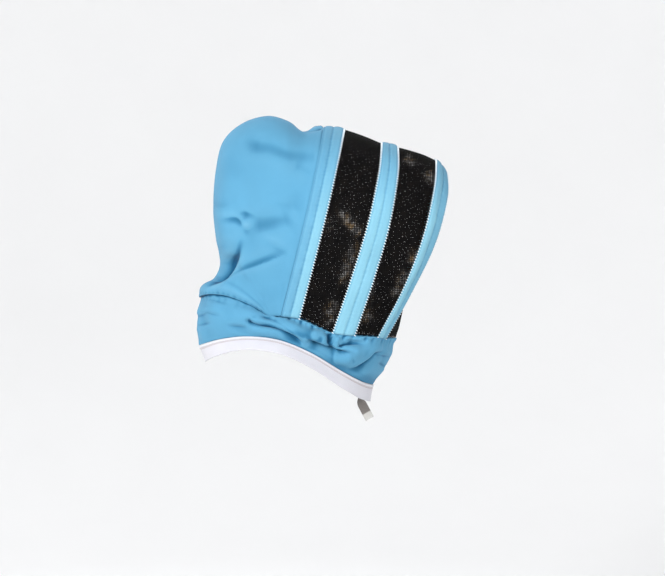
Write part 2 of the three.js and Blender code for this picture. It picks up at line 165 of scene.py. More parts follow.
bandEdges = table(  # from the back: feet and crown as shares of faceReach, crownHeight and halfWidth
    "footAhead footUp footHalf ahead up half bow skew",
    (-0.02, 0.229, 0.79, 0.232, 1, 0.98, 0.018, 0.4),
    (0.088, 0.218, 0.785, 0.356, 0.992, 0.99, 0.016, 0.4),
    (0.285, 0.163, 0.768, 0.58, 0.937, 1, 0.041, 0.4),
    (0.415, 0.152, 0.725, 0.675, 0.922, 0.99, 0.052, 0.4),
    (0.553, 0.145, 0.6, 0.907, 0.868, 0.945, 0.068, 0),
    (0.602, 0.136, 0.44, 0.97, 0.82, 0.82, 0.079, 0.45),
)
archStations = table(
    "rise lipRise spread napeSpread pinch",
    (0, 0, 1, 1, 1),
    (0.28, 0.61, 1, 0.99, 0.42),
    (0.56, 1.02, 1, 0.89, 0.08),
    (0.82, 1.13, 0.84, 0.66, 0),
    (0.96, 1.05, 0.47, 0.35, 0),
    (1, 1, 0, 0, 0),
)
backRibs = table(  # degrees back from upright, reach as a share of backReach
    "swing reach half nape lip footBack",
    (-8, 1.014, 0.97, 0, 0, 0.015),
    (-2, 1.062, 0.96, 0, 0, 0.028),
    (3, 1.085, 0.95, 0, 0, 0.04),
    (10, 1.061, 0.94, 0.05, 0, 0.052),
    (17, 0.989, 0.93, 0.15, 0, 0.062),
    (23, 0.848, 0.92, 0.3, 0.03, 0.072),
    (30, 0.685, 0.91, 0.45, 0.1, 0.08),
    (38, 0.52, 0.9, 0.6, 0.25, 0.088),
    (47, 0.412, 0.88, 0.75, 0.5, 0.096),
    (58, 0.399, 0.86, 0.9, 0.8, 0.104),
    (66, 0.417, 0.85, 1, 1, 0.112),
    (75, 0.41, 0.83, 1, 1, 0.12),
)


def overTheHead(rightPoints):  # the right side of an arch, then its mirror image
    right = np.asarray(rightPoints, float)
    left = right[-2::-1] * [-1, 1, 1]
    return np.concatenate([right, left])


def edgePoints(edge):
    points = []
    for s in archStations:
        half = edge["half"] * s["spread"] - (edge["half"] - edge["footHalf"]) * s["pinch"]
        bow = edge["bow"] * 4 * s["rise"] * (1 - s["rise"]) * (1 + edge["skew"] * (2 * s["rise"] - 1))
        ahead = edge["footAhead"] + (edge["ahead"] - edge["footAhead"]) * s["rise"] + bow
        up = edge["footUp"] + (edge["up"] - edge["footUp"]) * s["rise"]
        points.append((-half * hood["halfWidth"], -ahead * hood["faceReach"], up * hood["crownHeight"]))
    return overTheHead(points)


edgeControl = np.stack([edgePoints(edge) for edge in bandEdges])
lastEdge = len(bandEdges) - 1


def archesAt(control, along):  # control (arches, stations, 3) -> (arches, along, 3)
    return np.moveaxis(spline(np.moveaxis(control, 1, 0), along), 0, 1)


def canopy(across, along):  # grid of points (along, across, 3), across counted in band edges
    arches = archesAt(edgeControl, along)
    return np.moveaxis(spline(arches, np.asarray(across, float) / lastEdge), 0, 1)


def canopyRagged(across, along):  # across (along, columns) may differ from row to row
    arches = archesAt(edgeControl, along)
    return np.stack([spline(arches[:, i], across[i] / lastEdge) for i in range(len(along))])


def lapShare(edge, neighbour, along):
    arches = archesAt(edgeControl, along)
    return hood["lap"] / np.linalg.norm(arches[edge] - arches[neighbour], axis=-1)


rearFoot = edgeControl[0, 0]


def ribPoints(rib):
    swing, reach = math.radians(rib["swing"]), rib["reach"] * hood["backReach"]
    footHalf = bandEdges[0]["footHalf"]
    points = []
    for s in archStations:
        spread = s["spread"] + (s["napeSpread"] - s["spread"]) * rib["nape"]
        width = rib["half"] * spread - (rib["half"] - footHalf) * s["pinch"]
        back = rearFoot[1] + rib["footBack"] * hood["napeReach"] + math.sin(swing) * reach * s["rise"]
        rise = s["rise"] + (s["lipRise"] - s["rise"]) * rib["lip"]
        points.append((-width * hood["halfWidth"], back, rearFoot[2] + math.cos(swing) * reach * rise))
    return overTheHead(points)


ribControl = np.stack([ribPoints(rib) for rib in backRibs])
lapEnd = 1 / (len(backRibs) + 1)


def backCloth(down, along):  # grid (down, along, 3)
    lap = lapShare(0, 1, along)
    start = canopyRagged(np.stack([lap, np.zeros(len(lap))], 1), along)
    meridians = np.concatenate([np.moveaxis(start, 1, 0), archesAt(ribControl, along)])
    return spline(meridians, down)


# Meshes


def addPiece(name, vertices, faces, uv=None):
    mesh = bpy.data.meshes.new(name)
    mesh.from_pydata(np.asarray(vertices).reshape(-1, 3).tolist(), [], faces)
    if uv is not None:
        layer = mesh.uv_layers.new(name="cloth")
        corners = np.zeros(len(mesh.loops), dtype=int)
        mesh.loops.foreach_get("vertex_index", corners)
        layer.data.foreach_set("uv", np.asarray(uv, float)[corners].ravel())
    mesh.shade_smooth()
    piece = bpy.data.objects.new(name, mesh)
    bpy.context.scene.collection.objects.link(piece)
    return piece


def gridFaces(rows, columns, offset=0, around=False, flip=False):
    faces = []
    for i in range(rows if around else rows - 1):
        for j in range(columns - 1):
            a, b = offset + i * columns + j, offset + (i + 1) % rows * columns + j
            faces.append((a, a + 1, b + 1, b) if flip else (a, b, b + 1, a + 1))
    return faces


skins = {}  # for the stitching: each piece's outer grid and normals


def clothMesh(name, grid, outer, inner, uv, around=False, crease=None):  # a closed sheet over a grid
    rows, columns = grid.shape[:2]
    normal = facingOut(grid, around)
    normal[np.abs(grid[..., 0]) < 0.0002, 0] = 0  # the two back panels meet on the middle plane
    normal = unit(normal)
    outside = grid + normal * np.broadcast_to(outer, grid.shape[:2])[..., None]
    inside = grid + normal * np.broadcast_to(inner, grid.shape[:2])[..., None]
    skins[name] = (outside, normal)
    count = rows * columns
    i, j = rows // 2, columns // 2
    patch = np.cross(outside[i + 1, j] - outside[i, j], outside[i, j + 1] - outside[i, j])
    flip = patch @ normal[i, j] < 0
    faces = gridFaces(rows, columns, 0, around, flip) + gridFaces(rows, columns, count, around, not flip)

    def rim(line, turned):  # closes the gap between a line of the outer skin and its inner twin
        for a, b in zip(line[:-1], line[1:]):
            faces.append((b, a, a + count, b + count) if turned else (a, b, b + count, a + count))

    ring = list(range(rows)) + ([0] if around else [])
    rim([i * columns for i in ring], not flip)
    rim([i * columns + columns - 1 for i in ring], flip)
    if not around:
        rim(list(range(columns)), flip)
        rim([(rows - 1) * columns + j for j in range(columns)], not flip)
    flat = np.asarray(uv).reshape(-1, 2)
    points = np.concatenate([outside.reshape(-1, 3), inside.reshape(-1, 3)])
    piece = addPiece(name + "_cloth", points, faces, np.concatenate([flat, flat]))
    # The crease attribute carries painted light: above 0 painted shade, below 0 painted highlight.
    depth = np.zeros(rows * columns) if crease is None else crease.ravel()
    layer = piece.data.attributes.new("crease", "FLOAT", "POINT")
    layer.data.foreach_set("value", np.concatenate([depth, depth]))
    return piece


def acrossFromMiddle(grid):  # the length along each row, from its middle column
    across = np.zeros(grid.shape[:2])
    across[:, 1:] = np.cumsum(np.linalg.norm(np.diff(grid, axis=1), axis=-1), axis=1)
    return across - across[:, [grid.shape[1] // 2]]


def metricUv(grid):
    down = np.zeros(grid.shape[:2])
    down[1:] = np.cumsum(np.linalg.norm(np.diff(grid, axis=0), axis=-1), axis=0)
    down = np.repeat(down.mean(1, keepdims=True), grid.shape[1], 1)
    return np.stack([acrossFromMiddle(grid), down], -1)


def seenFromSide(points):  # forward and up as the camera sees them, drawn at the middle plane of the hood
    distance = cameraSettings["frameWidth"] * cameraSettings["lens"] / sensorWidth
    nearer = distance / (distance - np.abs(points[..., 0]))
    middle = np.array(cameraSettings["centre"])[1:]
    drawn = middle + (points[..., 1:] - middle) * nearer[..., None]
    return drawn * [-1, 1]


def foldLift(folds, points):  # how far the folds push each point out, drawn as seen from the side
    seen = seenFromSide(points)
    right = points[..., 0] < 0
    total = np.zeros(points.shape[:-1])
    for fold in folds:
        path = fold["path"]
        line = spline(np.c_[path, np.zeros(len(path))], np.linspace(0, 1, 30))[:, :2]
        best = np.full(points.shape[:-1], np.inf)
        share = np.zeros_like(best)
        side = np.ones_like(best)
        for k in range(len(line) - 1):
            step = line[k + 1] - line[k]
            t = np.clip((seen - line[k]) @ step / (step @ step), 0, 1)
            away = seen - (line[k] + t[..., None] * step)
            distance = np.linalg.norm(away, axis=-1)
            closer = distance < best
            best = np.where(closer, distance, best)
            share = np.where(closer, (k + t) / (len(line) - 1), share)
            side = np.where(closer, np.sign(step[0] * away[..., 1] - step[1] * away[..., 0]), side)
        across = side * best / fold["width"]
        steep = 1 - 0.8 * fold["crisp"]
        body = np.exp(-(np.where(across > 0, across / steep, across) ** 2))
        taper = smoothstep(share, -0.02, fold["fadeIn"]) * smoothstep(1 - share, -0.02, fold["fadeOut"])
        total += fold["depth"] * body * taper * np.where(right, 1, fold["left"])
    return total


def blurred(values, times, around=False):  # a grid of values, softened
    soft = values
    for _ in range(times):
        padded = np.pad(soft, ((1, 1), (0, 0)), mode="wrap" if around else "edge")
        soft = (padded[:-2] + 2 * padded[1:-1] + padded[2:]) / 4
        padded = np.pad(soft, ((0, 0), (1, 1)), mode="edge")
        soft = (padded[:, :-2] + 2 * padded[:, 1:-1] + padded[:, 2:]) / 4
    return soft


def hollows(lift, reach, times=14, around=False):  # 1 deep in a crease, -1 on a sharp ridge, 0 on plain cloth
    return np.clip((blurred(lift, times, around) - lift) / reach, -1, 1)


# Cloth and net materials


def newMaterial(name):
    material = bpy.data.materials.new(name)
    material.use_nodes = True
    tree = material.node_tree
    tree.nodes.clear()
    out = tree.nodes.new("ShaderNodeOutputMaterial")
    shader = tree.nodes.new("ShaderNodeBsdfPrincipled")
    tree.links.new(shader.outputs[0], out.inputs[0])
    return material, tree, shader


def addNode(tree, kind, inputs=None, **settings):
    node = tree.nodes.new(kind)
    for key, value in settings.items():
        setattr(node, key, value)
    for key, value in (inputs or {}).items():
        if isinstance(value, bpy.types.NodeSocket):
            tree.links.new(value, node.inputs[key])
        else:
            node.inputs[key].default_value = value
    return node


def ramp(tree, factor, stops):  # a colour for each place along the factor
    node = addNode(tree, "ShaderNodeValToRGB", {"Fac": factor})
    elements = node.color_ramp.elements
    while len(elements) < len(stops):
        elements.new(0.5)
    for element, (position, colour) in zip(elements, stops):
        element.position = position
        element.color = (*colour, 1)
    return node.outputs["Color"]


def calc(tree, operation, a, b=0.0):
    return addNode(tree, "ShaderNodeMath", {0: a, 1: b}, operation=operation).outputs[0]


def ranged(tree, value, fromLow, fromHigh, low, high):
    inputs = {"Value": value, "From Min": fromLow, "From Max": fromHigh, "To Min": low, "To Max": high}
    return addNode(tree, "ShaderNodeMapRange", inputs).outputs[0]


def mixed(tree, factor, a, b, blend="MIX"):
    inputs = {"Factor": factor, 6: a, 7: b}
    return addNode(tree, "ShaderNodeMix", inputs, data_type="RGBA", blend_type=blend).outputs[2]


def noise(tree, place, scale, detail=3.0, roughness=0.55):
    inputs = {"Vector": place, "Scale": scale, "Detail": detail, "Roughness": roughness}
    return addNode(tree, "ShaderNodeTexNoise", inputs).outputs["Fac"]


def wave(tree, place, direction, scale, distortion, detail=2.0):
    inputs = {"Vector": place, "Scale": scale, "Distortion": distortion, "Detail": detail}
    return addNode(tree, "ShaderNodeTexWave", inputs, bands_direction=direction).outputs["Fac"]


def crossed(tree, place, directions, scale, distortion):  # waves both ways, as warp and weft
    return calc(tree, "MULTIPLY", *[wave(tree, place, way, scale, distortion, 1.0) for way in directions])


def objectPlace(tree):
    return addNode(tree, "ShaderNodeTexCoord").outputs["Object"]


def stored(tree, name):  # a number kept on the mesh
    return addNode(tree, "ShaderNodeAttribute", attribute_name=name).outputs["Fac"]


def bump(tree, height, distance, strength, under=None):
    inputs = {"Height": height, "Distance": distance, "Strength": strength}
    if under:
        inputs["Normal"] = under
    return addNode(tree, "ShaderNodeBump", inputs).outputs[0]


def twisted(tree, shader, place, twist):  # the plies of a thread
    plies = wave(tree, place, "DIAGONAL", twist, 2.0)
    tree.links.new(bump(tree, plies, 0.00008, 0.6), shader.inputs["Normal"])


def wovenCotton(name, look):  # plain weave with slubs and cloudy dye; the crease attribute paints a highlight colour on ridges and shade colours in creases
    material, tree, shader = newMaterial(name)
    uv = addNode(tree, "ShaderNodeUVMap", uv_map="cloth").outputs[0]
    place = objectPlace(tree)
    weave = crossed(tree, uv, "XY", look["threads"], 0.8)
    slub = noise(tree, uv, 900.0)
    cloud = noise(tree, place, 14.0, 4.0)
    crumple = noise(tree, place, 42.0, 3.0, 0.5)
    depth = ranged(tree, stored(tree, "crease"), -1, 1, 0, 1)
    # painted light: ridge is a painted highlight colour, fold and deep are painted shade colours, colour is
    # the cloth's own
    stops = [(0, "ridge"), (0.5, "colour"), (0.72, "fold"), (1, "deep")]
    colour = ramp(tree, depth, [(at, look[key]) for at, key in stops])
    faded = ranged(tree, cloud, 0.3, 0.7, 1 - look["clouding"], 1 + look["clouding"])
    fleck = ranged(tree, slub, 0.3, 0.7, 0.93, 1.06)
    dark = ranged(tree, weave, 0, 1, 1.04, 0.94)
    for shade in [faded, fleck, dark]:
        colour = mixed(tree, 1.0, colour, shade, "MULTIPLY")
    tree.links.new(colour, shader.inputs["Base Color"])
    rough = ranged(tree, slub, 0.3, 0.7, look["roughness"] - 0.07, look["roughness"] + 0.07)
    tree.links.new(rough, shader.inputs["Roughness"])
    fine = bump(tree, weave, look["threadDepth"], look["weaveStrength"])
    tree.links.new(bump(tree, crumple, look["crumple"], 0.55, fine), shader.inputs["Normal"])
    shader.inputs["Specular IOR Level"].default_value = 0.22
    shader.inputs["Sheen Weight"].default_value = look["sheen"]
    shader.inputs["Sheen Roughness"].default_value = 0.45
    return material


def sewingThread(name, colour, roughness=0.7, shine=0.3, twist=2600.0):
    material, tree, shader = newMaterial(name)
    place = objectPlace(tree)
    grain = noise(tree, place, 700.0, 2.0)
    light, shade = [tuple(c * k for c in colour) for k in (1.15, 0.7)]
    tree.links.new(ramp(tree, grain, [(0.3, shade), (0.7, light)]), shader.inputs["Base Color"])
    twisted(tree, shader, place, twist)
    rough = ranged(tree, grain, 0.3, 0.7, roughness - 0.1, roughness + 0.1)
    tree.links.new(rough, shader.inputs["Roughness"])
    shader.inputs["Specular IOR Level"].default_value = shine
    return material


# In the looks, ridge is a painted highlight colour and fold and deep are painted shade colours, picked by the
# crease attribute.
cottonLook = {
    "ridge": (0.112, 0.297, 0.433),
    "colour": (0.073, 0.243, 0.383),
    "fold": (0.028, 0.145, 0.26),
    "deep": (0.003, 0.065, 0.145),
    "clouding": 0.05,
    "roughness": 0.85,
    "threads": 620.0,
    "threadDepth": 0.00012,
    "weaveStrength": 0.4,
    "crumple": 0.0012,
    "sheen": 0.06,
}
# The bands get a brighter painted highlight colour for their lit side.
bandLook = dict(
    cottonLook,
    ridge=(0.172, 0.375, 0.475),
    colour=(0.080, 0.248, 0.385),
    fold=(0.043, 0.18, 0.31),
    crumple=0.0007,
)
tapeLook = {
    "ridge": (0.68, 0.695, 0.73),
    "colour": (0.515, 0.51, 0.55),
    "fold": (0.34, 0.31, 0.32),
    "deep": (0.26, 0.23, 0.24),
    "clouding": 0.05,
    "roughness": 0.6,
    "threads": 420.0,
    "threadDepth": 0.0002,
    "weaveStrength": 0.6,
    "crumple": 0.0006,
    "sheen": 0.1,
}
# The tail's colours are the white tape's, darkened: painted shade, as the tail hangs in the shade.
tailLook = dict(tapeLook, ridge=(0.5, 0.49, 0.47), colour=(0.17, 0.155, 0.145), fold=(0.1, 0.09, 0.085))

cotton = wovenCotton("blue cotton", cottonLook)
bandCotton = wovenCotton("band cotton", bandLook)
hemTape = wovenCotton("white woven tape", tapeLook)
tailTape = wovenCotton("tape in the shade", tailLook)


def netThreadLook(name, look):  # black thread with painted highlights: lighter speckles where the glint attribute says so
    material, tree, shader = newMaterial(name)
    place = objectPlace(tree)
    knots = crossed(tree, place, "YZ", look["rows"], 1.2)
    speck = ranged(tree, knots, 0.25, 0.7, 0, 1)
    patchy = ranged(tree, noise(tree, place, look["specks"], 2.0), 0.4, 0.62, 0.15, 1)
    lit = calc(tree, "MULTIPLY", calc(tree, "MULTIPLY", speck, patchy), stored(tree, "glint"))
    # the painted highlight's colour, grey to brownish at random
    glintTint = noise(tree, place, look["specks"] * 0.6, 2.0)
    warm = ramp(tree, glintTint, [(0.45, look["grey"]), (0.62, look["brown"])])
    dark = ramp(tree, noise(tree, place, 90.0), [(0.35, look["colour"]), (0.7, look["dusty"])])
    tree.links.new(mixed(tree, lit, dark, warm), shader.inputs["Base Color"])
    twisted(tree, shader, place, 1900.0)
    rough = ranged(tree, speck, 0, 1, look["roughness"], look["roughness"] - 0.15)
    tree.links.new(rough, shader.inputs["Roughness"])
    shader.inputs["Specular IOR Level"].default_value = look["shine"]
    return material


netLook = {
    "colour": (0.0022, 0.0021, 0.0022),
    "dusty": (0.0042, 0.004, 0.004),
    # grey and brown are the painted highlight colours of the glints
    "grey": (0.42, 0.41, 0.40),
    "brown": (0.40, 0.27, 0.14),
    "rows": 130.0,
    "specks": 150.0,
    "roughness": 0.7,
    "shine": 0.02,
}
netThread = netThreadLook("black net thread", netLook)
whiteThread = sewingThread("white sewing thread", (0.80, 0.86, 0.90))
blueThread = sewingThread("blue sewing thread", (0.085, 0.27, 0.42))
brownThread = sewingThread("pinkish brown sewing thread", (0.40, 0.27, 0.25))
print("materials ready")


def finish(piece, material=None, node=None):  # its material, body and the plain solid it stands for
    if material:
        piece.data.materials.append(material)
    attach(piece, "root")
    if node:
        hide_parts(node)
    return piece


# The two back panels

backPanels = {
    "rows": 190,
    "columns": 130,
    "cleft": {"depth": 0.015, "width": 0.026},  # the dip between the two lobes of the crown
    "crownDent": {"depth": 0.0060, "apart": 0.036, "width": 0.015},  # beside the rear band's crown
    "crownPuff": {"height": 0.0035, "apart": 0.0, "width": 0.075},  # behind the rear band's crown
    "lipRoll": 0.0030,
    "curlRadius": 0.0025,
    "curlRows": 7,
    "gather": 0.0013,
    "slack": [{"size": 0.06, "height": 0.0012, "seed": 3}, {"size": 0.024, "height": 0.00025, "seed": 4}],
    "folds": [
        fold([-61.4, 356.6, -47.6, 340.2, -23.5, 335.9, -1.1, 327.3, 19.5, 322.2, 47.1, 320.4],
             width=15, depth=-2.6, crisp=0.2, left=0.7, fadeOut=0.05),
        fold([10, 309, 41.9, 296.3], width=9, depth=-0.8, left=0.7, fadeOut=0.05),
        fold([-106, 225, -87.2, 228.3, -75.1, 227.5, -66.5, 217.2, -56, 203.5], width=9, depth=-2.2,
             crisp=0.8, left=0.15, fadeIn=0.5, fadeOut=0.5),
        fold([-76, 232.5, -63.1, 237, -54.5, 234.4, -40, 229], width=7, depth=-1.2, crisp=0.7,
             left=0.15, fadeIn=0.5, fadeOut=0.5),
        fold([-66.5, 226.5, -54, 211], width=6.5, depth=1.8, left=0.15, fadeIn=0.5, fadeOut=0.5),
        fold([-56, 218.6, -32, 219.6, -8, 227, 15, 233], width=16, depth=-2.2, left=0.4),
        fold([-68, 205, -73, 184.5, -79, 169, -86.5, 158.4, -96.1, 147.3, -106.4, 137.6, -127, 126],
             width=9.5, depth=-13.5, crisp=0.35, left=0.9, fadeIn=0.55, fadeOut=0.22),
        fold([5.8, 184.5, -9.7, 174.1, -23.5, 168.1, -47.6, 158.6, -70, 151, -95.8, 139.4, -121.9,
             125.4], width=9, depth=-1.8, crisp=0.85, left=0.85, fadeIn=0.5, fadeOut=0.05),
        fold([-124, 133, -112, 133, -96, 148, -88, 164], width=5, depth=2.2, left=0.9, fadeIn=0.3,
             fadeOut=0.5),
        fold([-98, 250, -99, 215, -90, 185], width=14, depth=1.5, left=0.6),
        fold([-2, 250, -8, 210, -20, 185], width=20, depth=1.6, left=0.6),
    ],
    "paintedShades": [  # painted shade, in the valley above the nape
        fold([-77, 176, -83, 164, -90, 153, -98.5, 144, -110, 134, -123, 124], width=5.8, share=0.85,
             crisp=0.4, left=0.8),
    ],
}


def panelLift(flat, down, along):
    fade = smoothstep(down, 0.06, 0.16)[:, None]
    free = smoothstep(np.minimum(along, 1 - along) * 2, 0.02, 0.14)[None, :]
    side = np.abs(flat[..., 0])
    cleft, dent = backPanels["cleft"], backPanels["crownDent"]
    lift = fade * free * foldLift(backPanels["folds"], flat)
    cleftShape = smoothstep(down, 0.115, 0.2) * (1 - 0.35 * smoothstep(down, 0.3, 0.5)) * (1 - down**6)
    lift -= cleft["depth"] * cleftShape[:, None] * bell(side, 0, cleft["width"])
    dentShape = smoothstep(down, 0.078, 0.1) * (1 - smoothstep(down, 0.15, 0.21))
    lift -= dent["depth"] * dentShape[:, None] * bell(side, dent["apart"], dent["width"])
    puff = backPanels["crownPuff"]
    puffShape = smoothstep(down, 0.078, 0.095) * (1 - smoothstep(down, 0.12, 0.18))
    lift += puff["height"] * puffShape[:, None] * bell(side, puff["apart"], puff["width"])
    for slack in backPanels["slack"]:
        lift += fade * free * slack["height"] * softNoise(flat, slack["size"], slack["seed"])
    lift += backPanels["lipRoll"] * free * bell(down, 0.962, 0.03)[:, None]
    loose = 0.12 + 0.88 * smoothstep(seenFromSide(flat[-1])[:, 0], -0.05, -0.015)
    puckers = backPanels["gather"] * loose * gathers(runAlong(flat[-1]), 0.0093, 31, 0.0157)
    return lift + smoothstep(down, 0.96, 1.0)[:, None] * free * puckers[None, :]


def curledUnder(grid):  # rows that turn the lip in under itself
    normal = facingOut(grid)[-1]
    onward = unit(grid[-1] - grid[-2])
    radius = backPanels["curlRadius"]
    rows = []
    for turn in np.linspace(0, 2.5, backPanels["curlRows"])[1:]:
        rows.append(grid[-1] + onward * radius * math.sin(turn) - normal * radius * (1 - math.cos(turn)))
    return np.concatenate([grid, np.array(rows)])


def buildBack(name, rightSide):
    rows, columns = backPanels["rows"], backPanels["columns"]
    down = np.r_[0, np.linspace(lapEnd, 1, rows - 1)]
    whole = np.r_[np.linspace(0, 0.5, columns), np.linspace(0.5, 1, columns)[1:]]
    flat = backCloth(down, whole)
    lift = panelLift(flat, down, whole)
    grid = curledUnder(flat + facingOut(flat) * lift[..., None])
    lift = np.concatenate([lift, np.repeat(lift[-1:], len(grid) - rows, 0)])
    half = slice(0, columns) if rightSide else slice(columns - 1, None)
    # painted shade in the folds and painted highlight on their ridges
    crease = hollows(lift, 0.0016)
    crease[:rows] += foldLift(backPanels["paintedShades"], flat)
    crease[rows:] = smoothstep(np.arange(len(grid) - rows), 0, 2)[:, None]  # painted shade where the lip turns under
    crease = crease[:, half]
    grid = grid[:, half].copy()
    grid[:, -1 if rightSide else 0, 0] = -0.00004 if rightSide else 0.00004
    sunk = np.where(np.arange(len(grid)) < 2, 2, 1)[:, None] * hood["seamGap"]
    piece = clothMesh(name, grid, -sunk, -sunk - hood["clothWall"], metricUv(grid), crease=crease)
    return finish(piece, cotton, name)


backRight = buildBack("hood_back_right", True)
backLeft = buildBack("hood_back_left", False)
print("back panels ready")

# The three hooped bands

hoopBands = {
    "rows": 300,
    "columns": 30,
    "wall": 0.0011,
    "channelLift": 0.0011,
    "channels": [(0.27, 0.19), (0.74, 0.2)],  # middle and half-width of each hoop channel, across the band
    "stitchLines": [0.055, 0.5, 0.945],
    "groove": 0.0005,
    "pucker": 0.00030,
    "slack": 0.0007,
    "paintedLightBelow": (0.33, 0.2),  # heights between which a band's painted highlight grows to full, going down
}


def buildBand(name, firstEdge, seed, pale):  # pale: how much painted highlight its rear and its front half get
    rows, columns = hoopBands["rows"], hoopBands["columns"]
    across = np.linspace(0, 1, columns)
    grid = canopy(firstEdge + across, np.linspace(0, 1, rows))
    lift = np.zeros((rows, columns))
    for middle, half in hoopBands["channels"]:
        lift += hoopBands["channelLift"] * bell(across, middle, half, 4)
    for line in hoopBands["stitchLines"]:
        lift -= hoopBands["groove"] * bell(across, line, 0.04)
    run = runAlong(grid[:, columns // 2])[:, None]
    puckers = 0.5 * np.sin(run * 2 * math.pi / 0.0072 + 4 * np.sin(run * 37 + seed))
    puckers = puckers + softNoise(grid, 0.007, seed)
    beside = sum(bell(across, line, 0.13) for line in hoopBands["stitchLines"])
    lift = lift + hoopBands["pucker"] * puckers * np.minimum(beside, 1) * np.sin(across * math.pi)
    lift += hoopBands["slack"] * softNoise(grid, 0.03, seed + 5) * np.sin(across * math.pi)
    outer = np.maximum(hoopBands["wall"] + lift, 0.0005)
    outer[:, 0] = outer[:, -1] = 0.0007
    uv = metricUv(np.swapaxes(grid, 0, 1)).swapaxes(0, 1)
    high, low = hoopBands["paintedLightBelow"]
    litLower = 1 - smoothstep(grid[..., 2], low, high)
    paintedLight = pale[0] + (pale[1] - pale[0]) * smoothstep(across, 0.44, 0.58)
    # painted shade in the grooves, painted highlight on the channels, and painted highlight on the lit side,
    # fullest low down
    crease = 0.8 * hollows(lift, 0.0011, 3) - paintedLight * (0.25 + 0.75 * litLower)
    piece = clothMesh(name, grid, outer, 0.0, uv, crease=crease)
    return finish(piece, bandCotton, name)


bands = [
    buildBand("hoop_band_rear", 0, 11, (0.15, 0.8)),
    buildBand("hoop_band_middle", 2, 12, (0.9, 0.8)),
    buildBand("hoop_band_front", 4, 13, (0.95, 0.45)),
]
print("bands ready")

# The black net

netWeave = {
    "Pitch": 0.0025,
    "Thread": 0.00189,
    "Thickness": 0.00007,
    "Weave": 0.0001,  # how far a thread rises over the one it crosses
    "Wander": 0.0026,
    "Turn": 0.3,  # radians, so that the near and the far net don't line up
}
netFolds = [  # soft dents in the net strips
    fold([68, 262, 92, 236, 118, 212], width=8, depth=-3.2, crisp=0.5, left=0.5),
    fold([40, 150, 62, 128, 80, 96], width=10, depth=-2.6, left=0.7),
    fold([180, 300, 196, 284, 214, 268], width=8, depth=-2.6, crisp=0.4, left=0.5),
    fold([150, 152, 172, 158, 196, 178], width=10, depth=-2.8, crisp=0.4, left=0.6),
    fold([114, 96, 132, 92, 148, 80], width=9, depth=-2.2, left=0.8),
]


def treeWith(name, sizes):  # takes a mesh, some named sizes and a material, and gives a mesh
    tree = bpy.data.node_groups.new(name, "GeometryNodeTree")
    face = tree.interface
    face.new_socket("Geometry", in_out="INPUT", socket_type="NodeSocketGeometry")
    for size in sizes:
        face.new_socket(size, in_out="INPUT", socket_type="NodeSocketFloat")
    face.new_socket("Material", in_out="INPUT", socket_type="NodeSocketMaterial")
    face.new_socket("Geometry", in_out="OUTPUT", socket_type="NodeSocketGeometry")
    return tree, addNode(tree, "NodeGroupInput").outputs


def endTree(tree, given, shape):
    real = addNode(tree, "GeometryNodeRealizeInstances", {0: shape}).outputs[0]
    inputs = {"Geometry": real, "Material": given["Material"]}
    coloured = addNode(tree, "GeometryNodeSetMaterial", inputs).outputs[0]
    tree.links.new(coloured, addNode(tree, "NodeGroupOutput").inputs[0])
    return tree


def vectorOf(tree, x=0.0, y=0.0, z=0.0):
    return addNode(tree, "ShaderNodeCombineXYZ", {0: x, 1: y, 2: z}).outputs[0]


def vectorCalc(tree, operation, a, b):
    key = "Scale" if operation == "SCALE" else 1
    return addNode(tree, "ShaderNodeVectorMath", {0: a, key: b}, operation=operation).outputs[0]


def vectorParts(tree, vector):
    return addNode(tree, "ShaderNodeSeparateXYZ", {0: vector}).outputs


def storedVector(tree, name):
    kind = "GeometryNodeInputNamedAttribute"
    return addNode(tree, kind, {"Name": name}, data_type="FLOAT_VECTOR").outputs[0]


